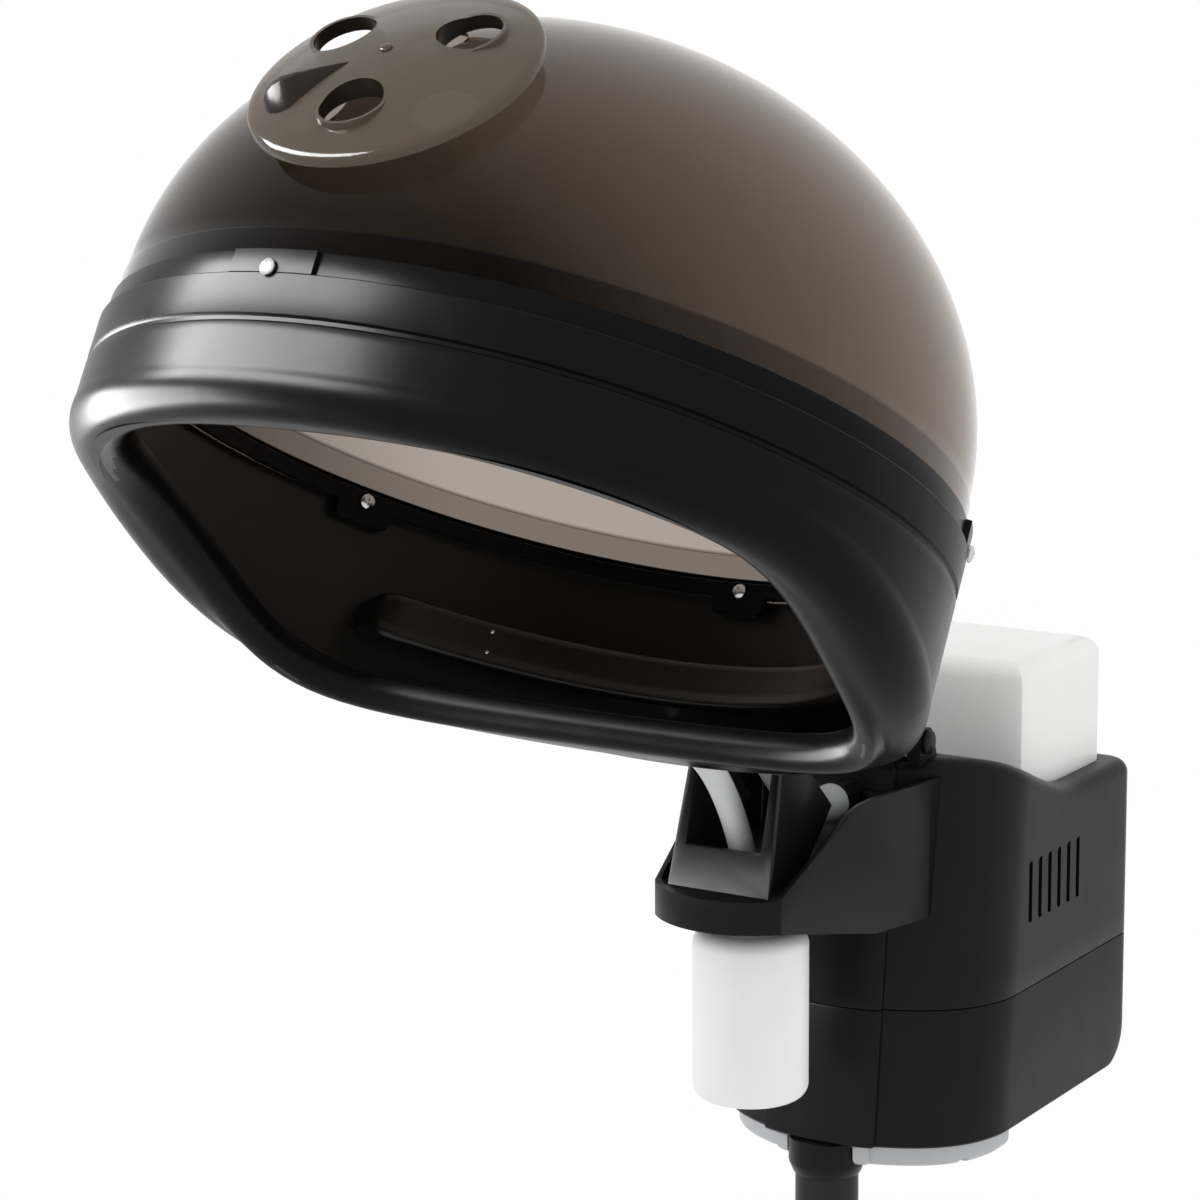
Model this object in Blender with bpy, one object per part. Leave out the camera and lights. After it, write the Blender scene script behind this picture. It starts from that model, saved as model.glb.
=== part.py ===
import bpy
import bmesh
from math import asin, atan2, cos, pi, radians, sin, sqrt
from mathutils import Matrix, Vector

MM = 0.001

# Fits shared by every piece
GAP = 0.3 * MM
HOLE_GAP = 0.3 * MM

# Pole and its socket: z = 0 is the flat lower end of the pole
POLE_OD = 31.75 * MM
POLE_WALL = 1.5 * MM
POLE_TOP = 65.0 * MM
PLUG_CAP = 3.0 * MM
PLUG_DEPTH = 20.0 * MM
SPIGOT_BOTTOM = 28.0 * MM
COLLAR_OD = 38.6 * MM
COLLAR_BOTTOM = 51.3 * MM
COLLAR_CHAMFER = 5.7 * MM
WEB_HALF = 8.0 * MM
WEB_REAR = 44.0 * MM
BOLT_D = 6.0 * MM

# Housing
HOUSING_BOTTOM = 70.0 * MM
SEAM_Z = 139.5 * MM
WALL = 2.5 * MM
FLOOR_LIFT = 1.0 * MM
FRONT_Y = -12.0 * MM
FRONT_R = 95.0 * MM
CORNER_R = 55.0 * MM
HALF_W = 76.5 * MM
REAR_Y = 196.0 * MM
REAR_R = 14.0 * MM
HEEL_R = 20.0 * MM
HEEL_TUCK = 0.7 * HEEL_R
LEAN = 0.103
PILASTER_HALF = 31.0 * MM
PILASTER_PROUD = 2.5 * MM
TOP_Z = 264.0 * MM
DECK_Z = 233.0 * MM
SWEEP_START = 25.0 * MM
SWEEP_END = 130.0 * MM
TOP_ROUND = 5.0 * MM
VENT_COUNT = 6
VENT_PITCH = 11.0 * MM
VENT_WIDTH = 4.0 * MM
VENT_FIRST_Y = 70.5 * MM
VENT_LOW = 173.5 * MM
VENT_HIGH = 205.0 * MM
PAN_INSET = 5.0 * MM
PAN_DEPTH = 11.5 * MM
PAN_EDGE = 4.0 * MM
PAN_REAR_Y = 72.0 * MM
NOTCH_R = 3.2 * MM
NOTCH_BACK = 37.0 * MM

# Water tank and its well
TANK_HALF = 62.0 * MM
TANK_FRONT = 87.4 * MM
TANK_REAR = 178.0 * MM
TANK_TOP = 300.0 * MM
TANK_EDGE = 10.0 * MM
TANK_CORNER = 14.0 * MM
TANK_WALL = 2.0 * MM
TANK_GAP = 1.0 * MM
WELL_FLOOR = 206.0 * MM
SEAT_BASE = 2.0 * MM
SEAT_WALL_H = 6.0 * MM
CAP_D = 40.0 * MM
CAP_H = 12.0 * MM
NECK_D = 32.0 * MM
STEM_D = 8.0 * MM

# Front bracket with its shelf and hose tower
BRACKET_R = 46.3 * MM
BRACKET_HALF_ANGLE = 48.0
BRACKET_CENTRE_Y = -78.0 * MM
BRACKET_REAR_HALF = 50.0 * MM
BRACKET_WALL = 3.0 * MM
SHELF_LOW = 206.0 * MM
SHELF_TOP = 222.0 * MM
SHELF_PLATE = 3.0 * MM
CHEEK_TOP = 256.5 * MM
CHEEK_STEP_Y = 11.0 * MM
TOWER_FOOT_Y = -109.0 * MM
TOWER_TOP = 278.0 * MM
TOWER_LEAN = 15.0
TOWER_FOOT_HALF = 27.3 * MM
TOWER_TOP_HALF = 24.3 * MM
TOWER_PLATE = 3.5 * MM
WINDOW_HALF = 20.5 * MM
WINDOW_SILL = 241.0 * MM

# Condensate bottle
BOTTLE_Y = -77.5 * MM
BOTTLE_D = 56.0 * MM
BOTTLE_BODY_H = 84.0 * MM
BOTTLE_NECK_H = 16.0 * MM
BOTTLE_NECK_D = 30.0 * MM
BOTTLE_WALL = 2.5 * MM
BOTTLE_COLLAR_WALL = 4.0 * MM
BOTTLE_COLLAR_TOP = 6.0 * MM
BOTTLE_MOUTH = SHELF_TOP - SHELF_PLATE - BOTTLE_COLLAR_TOP
BOTTLE_SHOULDER = BOTTLE_MOUTH - BOTTLE_NECK_H
BOTTLE_BOTTOM = BOTTLE_SHOULDER - BOTTLE_BODY_H
HOSE_HOLE_R = 11.0 * MM

# Hood hinge
PIVOT_Y = 21.0 * MM
PIVOT_Z = 272.5 * MM
HOOD_TILT = 29.46
ARM_REACH = 339.1 * MM
RING_RISE = 26.4 * MM
PIN_D = 8.0 * MM
LUG_R = 7.5 * MM
ARM_HALF = 32.0 * MM
ARM_PLATE = 6.0 * MM
WASHER_T = 3.4 * MM
EAR_T = 7.0 * MM

# Hood bowl, in hood coordinates: x right, y back, z along the hood axis, ring top at z = 0
BOWL_R = 190.0 * MM
BOWL_WALL = 3.6 * MM
ROUND_STEPS = 48
RECESS_H = 10.0 * MM
RECESS_DEPTH = 1.4 * MM
GROOVE_TOP = 27.5 * MM
GROOVE_H = 3.0 * MM
GROOVE_DEPTH = 1.2 * MM
RIM_FRONT = 67.0 * MM
RIM_DROP = 39.0 * MM
DROP_START = -80.0 * MM
DROP_END = 120.0 * MM
ROLL_FRONT = 14.0 * MM
ROLL_SIDE = 20.0 * MM
ROLL_REAR = 10.0 * MM
REAR_RAISE = 13.0 * MM
LIP_FRONT_R = 15.0 * MM
LIP_REAR_R = 9.0 * MM
LIP_RISE = 4.0 * MM
MOUTH_HALF = 150.0 * MM
MOUTH_FRONT = 157.0 * MM
MOUTH_REAR = 107.0 * MM
TAB_WIDTH = 42.0 * MM
RING_TAB_WIDTH = 28.0 * MM
TAB_TURNS = (-4.0, 116.0, 176.0, 236.0)
PAD_HALF = 36.0 * MM
PAD_PROUD = 7.0 * MM
PAD_FACE = BOWL_R + PAD_PROUD
PAD_LOW = -46.0 * MM
PAD_HIGH = -14.0 * MM

# Dome, retaining ring and their screws
BREAK_H = 11.5 * MM
DOME_H = 158.5 * MM
DOME_WALL = 3.0 * MM
DOME_STEP = 0.8 * MM
RING_WALL = 3.0 * MM
RING_TOP = -3.5 * MM
RING_LEDGE = -11.0 * MM
# The skirt stops just above the ledge, so its screw holes are open slots
SKIRT_LOW = RING_LEDGE + 0.4 * MM
RING_TAB_LOW = -19.0 * MM
SCREW_H = -8.5 * MM
SCREW_D = 4.0 * MM
SCREW_HEAD_D = 7.4 * MM
SCREW_HEAD_H = 2.4 * MM

# Vent disc on the dome
VENT_TURN = 62.0
DISC_R = 61.6 * MM
DISC_CURVE = 172.0 * MM
DISC_T = 2.5 * MM
DISC_LIFT = 11.0 * MM
DISC_SKIRT = 2.0 * MM
DISC_HOLE_D = 27.0 * MM
DISC_HOLE_RADIUS = 33.5 * MM
DISC_FIRST_HOLE = 34.0
DOME_FIRST_HOLE = -26.0
POINTER_TURN = 205.0
RIVET_D = 3.0 * MM
RIVET_HEAD_R = 2.6 * MM
RIVET_FOOT_R = 4.5 * MM
HUB_R = 4.5 * MM

# Steam and drain
MANIFOLD_HALF_ANGLE = 52.0
MANIFOLD_TOP = -48.0 * MM
MANIFOLD_LOW = -72.0 * MM
MANIFOLD_DEPTH = 33.0 * MM
MANIFOLD_FACE_R = BOWL_R - MANIFOLD_DEPTH
STEAM_X = 9.8 * MM
STEAM_H = -61.0 * MM
STEAM_HOSE_D = 18.5 * MM
STEAM_PIPE_D = 14.0 * MM
OUTLET_Z = 246.0 * MM
OUTLET_END_Y = -14.0 * MM
DRAIN_X = -9.0 * MM
DRAIN_H = -78.0 * MM
DRAIN_HOSE_D = 12.5 * MM
NIPPLE_LENGTH = 18.0 * MM
STEAM_INLET_LENGTH = 20.0 * MM
STEAM_INLET_R = 6.0 * MM
DRAIN_TAIL_R = 3.5 * MM

# Boiler and the electrical pieces
BOILER_Y = 70.0 * MM
BOILER_R = 34.0 * MM
BOILER_H = 76.0 * MM
BOILER_WALL = 2.0 * MM
LID_T = 4.0 * MM
LID_LIP = 3.0 * MM
SPOUT_H = 14.0 * MM
SPOUT_Y = -8.0 * MM
SPOUT_BORE_R = 5.0 * MM
FEED_D = 8.0 * MM
FEED_Y = 24.0 * MM
FEED_BORE_R = 3.0 * MM
ELEMENT_LEG_X = 13.0 * MM
ELEMENT_LEG_Y = 18.0 * MM
ELEMENT_ROD_R = 3.0 * MM
ELEMENT_LIFT = 10.0 * MM
ELEMENT_TAIL = 8.0 * MM
THERMOSTAT_R = 8.0 * MM
THERMOSTAT_PLACE = (20.0 * MM, -10.0 * MM)
TIMER_Y = 122.0 * MM
TIMER_Z = 176.0 * MM
TIMER_KNOB_D = 34.0 * MM
TIMER_SHAFT_D = 8.0 * MM
TIMER_BOX = 30.0 * MM
TIMER_DEPTH = 22.0 * MM
SWITCH_Y = 80.0 * MM
SWITCH_Z = 162.0 * MM
LAMP_Z = 188.0 * MM
SWITCH_HOLE = (12.5 * MM, 8.5 * MM)
LAMP_R = 4.5 * MM
INLET_X = -30.0 * MM
INLET_Z = 104.0 * MM
INLET_HOLE = (14.0 * MM, 10.0 * MM)
INLET_RIM = 3.0 * MM
BLOCK_SIZE = (32.0 * MM, 24.0 * MM, 17.0 * MM)
BLOCK_INSET = 19.5 * MM
BLOCK_BACK = 50.0 * MM


def clear_scene():
    for obj in list(bpy.data.objects):
        bpy.data.objects.remove(obj, do_unlink=True)


def make_material(name, colour, roughness, metallic=0.0, alpha=1.0):
    found = bpy.data.materials.new(name)
    found.use_nodes = True
    shader = found.node_tree.nodes["Principled BSDF"]
    shader.inputs["Base Color"].default_value = (*colour, 1.0)
    shader.inputs["Roughness"].default_value = roughness
    shader.inputs["Metallic"].default_value = metallic
    shader.inputs["Alpha"].default_value = alpha
    found.diffuse_color = (*colour, alpha)
    return found


def make_materials():
    return {
        "gloss_black": make_material("gloss_black", (0.012, 0.012, 0.014), 0.18),
        "smoke": make_material("smoke", (0.09, 0.06, 0.05), 0.06, alpha=0.7),
        "white": make_material("white", (0.85, 0.86, 0.88), 0.35),
        "pale_grey": make_material("pale_grey", (0.62, 0.63, 0.65), 0.4),
        "dark_grey": make_material("dark_grey", (0.06, 0.06, 0.065), 0.3),
        "steel": make_material("steel", (0.6, 0.6, 0.62), 0.28, 1.0),
        "brass": make_material("brass", (0.6, 0.42, 0.18), 0.3, 1.0),
        "clear_blue": make_material("clear_blue", (0.45, 0.55, 0.65), 0.15),
        "red": make_material("red", (0.5, 0.02, 0.02), 0.25),
        "rubber": make_material("rubber", (0.02, 0.02, 0.02), 0.7),
    }


def make_empty(name, place, parent=None, turn=(0.0, 0.0, 0.0)):
    obj = bpy.data.objects.new(name, None)
    bpy.context.collection.objects.link(obj)
    obj.location = place
    obj.rotation_euler = turn
    obj.parent = parent
    return obj


def make_object(name, bm, paint=None, parent=None, place=(0, 0, 0), turn=(0, 0, 0)):
    bmesh.ops.remove_doubles(bm, verts=bm.verts, dist=1e-6)
    bmesh.ops.recalc_face_normals(bm, faces=bm.faces)
    mesh = bpy.data.meshes.new(name)
    bm.to_mesh(mesh)
    bm.free()
    mesh.shade_smooth()
    mesh.set_sharp_from_angle(angle=radians(32))
    obj = bpy.data.objects.new(name, mesh)
    bpy.context.collection.objects.link(obj)
    obj.location = place
    obj.rotation_euler = turn
    obj.parent = parent
    if paint is None:
        obj.hide_render = True
        obj.display_type = "WIRE"
    else:
        mesh.materials.append(paint)
    return obj


def boolean(target, tool, operation):
    modifier = target.modifiers.new(operation.lower(), "BOOLEAN")
    modifier.solver = "EXACT"
    modifier.operation = operation
    modifier.object = tool
    return target


def cut(target, tool):
    return boolean(target, tool, "DIFFERENCE")


def add(target, tool):
    return boolean(target, tool, "UNION")


# Joins equal closed loops into one skin. A wrapped skin runs back to its first loop.
def skin(bm, loops, wrap=False, paired_caps=False):
    rings = [[bm.verts.new(point) for point in loop] for loop in loops]
    count = len(rings[0])
    last = len(rings) if wrap else len(rings) - 1
    for k in range(last):
        low, high = rings[k], rings[(k + 1) % len(rings)]
        for i in range(count):
            j = (i + 1) % count
            bm.faces.new((low[i], low[j], high[j], high[i]))
    if wrap:
        return bm
    for ring in (rings[0], rings[-1]):
        if not paired_caps:
            bm.faces.new(ring)
            continue
        bm.faces.new((ring[0], ring[1], ring[-1]))
        for i in range(1, (count - 1) // 2):
            bm.faces.new((ring[i], ring[i + 1], ring[-i - 1], ring[-i]))
    return bm


# A closed (radius, height) profile turned about z
def turned(profile, steps=32):
    bm = bmesh.new()
    verts = [bm.verts.new((r, 0, z)) for r, z in profile]
    edges = [bm.edges.new(pair) for pair in zip(verts, verts[1:])]
    if profile[0][0] > 0 or profile[-1][0] > 0:
        edges.append(bm.edges.new((verts[-1], verts[0])))
    bmesh.ops.spin(
        bm, geom=verts + edges, axis=(0, 0, 1), cent=(0, 0, 0), angle=2 * pi, steps=steps, use_merge=True
    )
    return bm


def add_box(bm, low, high):
    size = Vector(high) - Vector(low)
    middle = (Vector(high) + Vector(low)) / 2
    bmesh.ops.create_cube(bm, size=1.0, matrix=Matrix.Translation(middle) @ Matrix.Diagonal((*size, 1.0)))
    return bm


def add_rod(bm, radius, start, end, segments=20):
    run = Vector(end) - Vector(start)
    turn = run.to_track_quat("Z", "Y").to_matrix().to_4x4()
    bmesh.ops.create_cone(
        bm,
        cap_ends=True,
        segments=segments,
        radius1=radius,
        radius2=radius,
        depth=run.length,
        matrix=Matrix.Translation((Vector(start) + Vector(end)) / 2) @ turn,
    )
    return bm


# An outline of (y, z) points given thickness along x
def add_side_plate(bm, points, x_low, x_high):
    return skin(bm, [[(x, y, z) for y, z in points] for x in (x_low, x_high)])


# An outline of (x, y) points given height along z
def add_prism(bm, points, z_low, z_high):
    return skin(bm, [[(x, y, z) for x, y in points] for z in (z_low, z_high)])


def arc(centre, radius, start, end, count):
    turns = [radians(start + (end - start) * k / count) for k in range(count + 1)]
    return [(centre[0] + radius * cos(t), centre[1] + radius * sin(t)) for t in turns]


def rounded_rectangle(x_low, x_high, y_low, y_high, radius, count=4):
    points = arc((x_high - radius, y_high - radius), radius, 0, 90, count)
    points += arc((x_low + radius, y_high - radius), radius, 90, 180, count)
    points += arc((x_low + radius, y_low + radius), radius, 180, 270, count)
    points += arc((x_high - radius, y_low + radius), radius, 270, 360, count)
    return points


def make_hose(name, points, diameter, paint, parent=None):
    data = bpy.data.curves.new(name, "CURVE")
    data.dimensions = "3D"
    data.bevel_depth = diameter / 2
    data.bevel_resolution = 2
    data.use_fill_caps = True
    spline = data.splines.new("POLY")
    spline.points.add(len(points) - 1)
    for spot, point in zip(spline.points, points):
        spot.co = (*point, 1.0)
    data.materials.append(paint)
    obj = bpy.data.objects.new(name, data)
    bpy.context.collection.objects.link(obj)
    obj.parent = parent
    return obj


# Points of a smooth run between two ends, leaving along one direction and arriving along the other
def sweep(start, leave, end, arrive, count):
    first = start + leave * 0.2
    last = end - arrive * 0.2
    points = [start]
    for k in range(count + 1):
        t = k / count
        s = 1 - t
        points.append(
            s**3 * first + 3 * s * s * t * (first + leave) + 3 * s * t * t * (last - arrive) + t**3 * last
        )
    return points + [end]


def smooth_step(t):
    t = min(max(t, 0.0), 1.0)
    return t * t * (3 - 2 * t)


# A pan-head screw along -z: the head sits on z = 0 and the shank runs down
def screw_mesh(diameter, head_diameter, head_height, length):
    r = diameter / 2
    head = head_diameter / 2
    return turned(
        [
            (0, -length),
            (r, -length),
            (r, 0),
            (head, 0),
            (head, head_height * 0.45),
            (head * 0.72, head_height),
            (0, head_height),
        ],
        12,
    )


def collar_mesh(bore_diameter, outer_diameter, low, high, steps=24):
    return turned(
        [
            (bore_diameter / 2, high),
            (outer_diameter / 2, high),
            (outer_diameter / 2, low),
            (bore_diameter / 2, low),
        ],
        steps,
    )


# A hexagon nut with a round bore
def nut_mesh(bore_diameter, across_flats, low, high):
    count = 18
    inner, outer = [], []
    for k in range(count):
        turn = 2 * pi * k / count
        reach = across_flats / 2 / cos((turn % (pi / 3)) - pi / 6)
        inner.append((bore_diameter / 2 * cos(turn), bore_diameter / 2 * sin(turn)))
        outer.append((reach * cos(turn), reach * sin(turn)))
    loops = []
    for points, z in ((inner, low), (outer, low), (outer, high), (inner, high)):
        loops.append([(x, y, z) for x, y in points])
    return skin(bmesh.new(), loops, wrap=True)


# Plan of the housing at one height, grown by an offset, from the middle of the front right round
def housing_plan(offset, height, rear_in=0.0):
    centre_y = FRONT_Y + LEAN * (height - HOUSING_BOTTOM) + FRONT_R
    turn = asin((HALF_W - CORNER_R) / (FRONT_R - CORNER_R))
    proud = FRONT_R + PILASTER_PROUD + offset
    plain = FRONT_R + offset
    step = PILASTER_HALF + offset
    half = []
    for k in range(4):
        angle = asin(step / proud) * k / 3
        half.append((proud * sin(angle), centre_y - proud * cos(angle)))
    first = asin(step / plain)
    for k in range(3):
        angle = first + (turn - first) * k / 3
        half.append((plain * sin(angle), centre_y - plain * cos(angle)))
    reach = FRONT_R - CORNER_R
    corner = (reach * sin(turn), centre_y - reach * cos(turn))
    for k in range(6):
        angle = turn + (pi / 2 - turn) * k / 5
        half.append(
            (corner[0] + (CORNER_R + offset) * sin(angle), corner[1] - (CORNER_R + offset) * cos(angle))
        )
    rear = (HALF_W - REAR_R, REAR_Y - rear_in - REAR_R)
    for k in range(1, 6):
        half.append((HALF_W + offset, corner[1] + (rear[1] - corner[1]) * k / 6))
    for k in range(4):
        angle = pi / 2 + pi / 2 * k / 3
        half.append((rear[0] + (REAR_R + offset) * sin(angle), rear[1] - (REAR_R + offset) * cos(angle)))
    return half + [(-x, y) for x, y in reversed(half[1:])]


def plan_at(offset, height, rear_in=0.0):
    return [(x, y, height) for x, y in housing_plan(offset, height, rear_in)]


def top_height(y):
    return TOP_Z - (TOP_Z - DECK_Z) * smooth_step((y - SWEEP_START) / (SWEEP_END - SWEEP_START))


# The swept top's outline, a given distance in from the edge and down from the surface
def top_plan(offset, below):
    return [(x, y, top_height(y) - below) for x, y in housing_plan(offset, TOP_Z)]


def heel_inset(height):
    rise = min(max((height - HOUSING_BOTTOM) / HEEL_R, 0.0), 1.0)
    return HEEL_R * (1 - sqrt(1 - (1 - rise) ** 2))


def front_face_y(height, proud=PILASTER_PROUD):
    return FRONT_Y + LEAN * (height - HOUSING_BOTTOM) - proud


FLOOR_Z = HOUSING_BOTTOM + FLOOR_LIFT
FLOOR_TOP = FLOOR_Z + WALL
SOCKET_TOP = FLOOR_Z - GAP
BOLT_PLACES = ((0.0, 0.0), (0.0, 25.0 * MM))


def build_pole(paints):
    outer = POLE_OD / 2
    inner = outer - POLE_WALL
    tube_low = PLUG_CAP + GAP
    make_object("pole", collar_mesh(2 * inner, POLE_OD, tube_low, POLE_TOP, 40), paints["dark_grey"])
    stem = inner - GAP
    make_object(
        "pole_end_plug",
        turned(
            [(0, 0), (outer, 0), (outer, PLUG_CAP), (stem, PLUG_CAP), (stem, PLUG_DEPTH), (0, PLUG_DEPTH)],
            40,
        ),
        paints["rubber"],
    )


def socket_profile(grow):
    outer = COLLAR_OD / 2 + grow
    return [
        (0, COLLAR_BOTTOM - grow),
        (outer - 2.3 * MM, COLLAR_BOTTOM - grow),
        (outer, COLLAR_BOTTOM + COLLAR_CHAMFER),
        (outer, HOUSING_BOTTOM - GAP + grow),
        (0, HOUSING_BOTTOM - GAP + grow),
    ]


def web_box(grow):
    low = (-WEB_HALF - grow, -4 * MM - grow, COLLAR_BOTTOM + COLLAR_CHAMFER - grow)
    return add_box(bmesh.new(), low, (WEB_HALF + grow, WEB_REAR + grow, SOCKET_TOP + grow))


def build_socket(head, paints):
    socket = make_object("pole_socket", turned(socket_profile(0), 40), paints["gloss_black"], head)
    add(socket, make_object("web", web_box(0), None, head))
    inner = POLE_OD / 2 - POLE_WALL - GAP
    bore = POLE_OD / 2 + GAP
    sleeve = [(inner, COLLAR_BOTTOM - 1 * MM), (bore, COLLAR_BOTTOM - 1 * MM)]
    sleeve += [(bore, POLE_TOP + GAP), (inner, POLE_TOP + GAP)]
    cut(socket, make_object("sleeve_bore", turned(sleeve, 40), None, head))
    spigot = turned(
        [
            (0, SPIGOT_BOTTOM),
            (inner, SPIGOT_BOTTOM),
            (inner, COLLAR_BOTTOM + 2 * MM),
            (0, COLLAR_BOTTOM + 2 * MM),
        ], 40
    )
    add(socket, make_object("spigot", spigot, None, head))
    holes = bmesh.new()
    for x, y in BOLT_PLACES:
        add_rod(holes, BOLT_D / 2 + HOLE_GAP, (x, y, COLLAR_BOTTOM + 8 * MM), (x, y, FLOOR_TOP + 1 * MM))
    hole_tool = make_object("bolt_holes", holes, None, head)
    cut(socket, hole_tool)
    for name, (x, y) in zip(("socket_bolt_front", "socket_bolt_rear"), BOLT_PLACES):
        length = FLOOR_TOP + GAP - (COLLAR_BOTTOM + 10 * MM)
        bolt = screw_mesh(BOLT_D, 1.8 * BOLT_D, 0.65 * BOLT_D, length)
        make_object(name, bolt, paints["steel"], head, (x, y, FLOOR_TOP + GAP))
    return hole_tool


def build_lower_housing(head, paints, bolt_holes):
    loops = [plan_at(-WALL, FLOOR_Z, HEEL_TUCK)]
    loops.append([(x, y, HOUSING_BOTTOM) for x, y, _ in loops[0]])
    loops.append(plan_at(-1.2 * MM, HOUSING_BOTTOM, HEEL_TUCK))
    for rise in (1.2 * MM, 0.2 * HEEL_R, 0.5 * HEEL_R, HEEL_R):
        height = HOUSING_BOTTOM + rise
        loops.append(plan_at(0, height, heel_inset(height)))
    loops.append(plan_at(0, SEAM_Z - GAP / 2 - 0.6 * MM))
    loops.append(plan_at(-0.6 * MM, SEAM_Z - GAP / 2))
    loops.append(plan_at(-WALL, SEAM_Z - GAP / 2))
    loops.append(plan_at(-WALL, HOUSING_BOTTOM + HEEL_R))
    loops.append(plan_at(-WALL, FLOOR_TOP, heel_inset(FLOOR_TOP)))
    lower = make_object(
        "lower_housing",
        skin(bmesh.new(), loops, paired_caps=True),
        paints["gloss_black"],
        head,
    )
    cut(lower, bolt_holes)
    hole = add_box(
        bmesh.new(),
        (INLET_X - INLET_HOLE[0], REAR_Y - 8 * MM, INLET_Z - INLET_HOLE[1]),
        (INLET_X + INLET_HOLE[0], REAR_Y + 4 * MM, INLET_Z + INLET_HOLE[1]),
    )
    cut(lower, make_object("inlet_cutout", hole, None, head))
    return lower


def build_pan(head, paints):
    top = FLOOR_Z - GAP
    low = HOUSING_BOTTOM - PAN_DEPTH
    inset = -WALL - 0.7 * MM
    rear = REAR_Y - PAN_REAR_Y
    loops = [
        [(x, y, low) for x, y in housing_plan(-PAN_INSET - PAN_EDGE, HOUSING_BOTTOM, rear)],
        [(x, y, low + 1.2 * MM) for x, y in housing_plan(-PAN_INSET - 1.2 * MM, HOUSING_BOTTOM, rear)],
        [(x, y, low + PAN_EDGE) for x, y in housing_plan(-PAN_INSET, HOUSING_BOTTOM, rear)],
        [(x, y, HOUSING_BOTTOM - 0.8 * MM) for x, y in housing_plan(-PAN_INSET, HOUSING_BOTTOM, rear)],
        [(x, y, HOUSING_BOTTOM - 0.8 * MM) for x, y in housing_plan(inset, HOUSING_BOTTOM, rear)],
        [(x, y, top) for x, y in housing_plan(inset, HOUSING_BOTTOM, rear)],
    ]
    pan = make_object("bottom_pan", skin(bmesh.new(), loops, paired_caps=True), paints["pale_grey"], head)
    hollow = [
        [(x, y, low + 2 * MM) for x, y in housing_plan(-PAN_INSET - PAN_EDGE, HOUSING_BOTTOM, rear)],
        [(x, y, top + 1 * MM) for x, y in housing_plan(-PAN_INSET - 2 * MM, HOUSING_BOTTOM, rear)],
    ]
    cut(pan, make_object("pan_hollow", skin(bmesh.new(), hollow, paired_caps=True), None, head))
    cut(pan, make_object("socket_room", turned(socket_profile(0.8 * MM), 40), None, head))
    web = bmesh.new()
    add_box(
        web,
        (-WEB_HALF - 0.8 * MM, 0, low - 1 * MM),
        (WEB_HALF + 0.8 * MM, WEB_REAR + 0.8 * MM, top + 1 * MM),
    )
    cut(pan, make_object("web_room", web, None, head))
    notch_y = FRONT_Y + NOTCH_BACK
    notch = add_rod(bmesh.new(), NOTCH_R, (HALF_W / 2, notch_y, low), (HALF_W * 1.2, notch_y, low), 16)
    cut(pan, make_object("pan_notch", notch, None, head))


def well_box(grow, low, high):
    return add_prism(
        bmesh.new(),
        rounded_rectangle(
            -TANK_HALF - TANK_GAP - grow,
            TANK_HALF + TANK_GAP + grow,
            TANK_FRONT - TANK_GAP - grow,
            TANK_REAR + TANK_GAP + grow,
            TANK_CORNER,
        ),
        low,
        high,
    )


TANK_MIDDLE = (TANK_FRONT + TANK_REAR) / 2
SCREW_PLACES = ((-20 * MM, 205 * MM), (20 * MM, 205 * MM))
EAR_INNER = ARM_HALF + WASHER_T + 2 * GAP
EAR_OUTER = EAR_INNER + EAR_T


def bracket_screw_holes(head):
    holes = bmesh.new()
    for x, z in SCREW_PLACES:
        face = front_face_y(z)
        add_rod(holes, SCREW_D / 2 + HOLE_GAP, (x, face - 8 * MM, z), (x, face + 12 * MM, z), 14)
    return make_object("bracket_screw_holes", holes, None, head)


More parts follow.
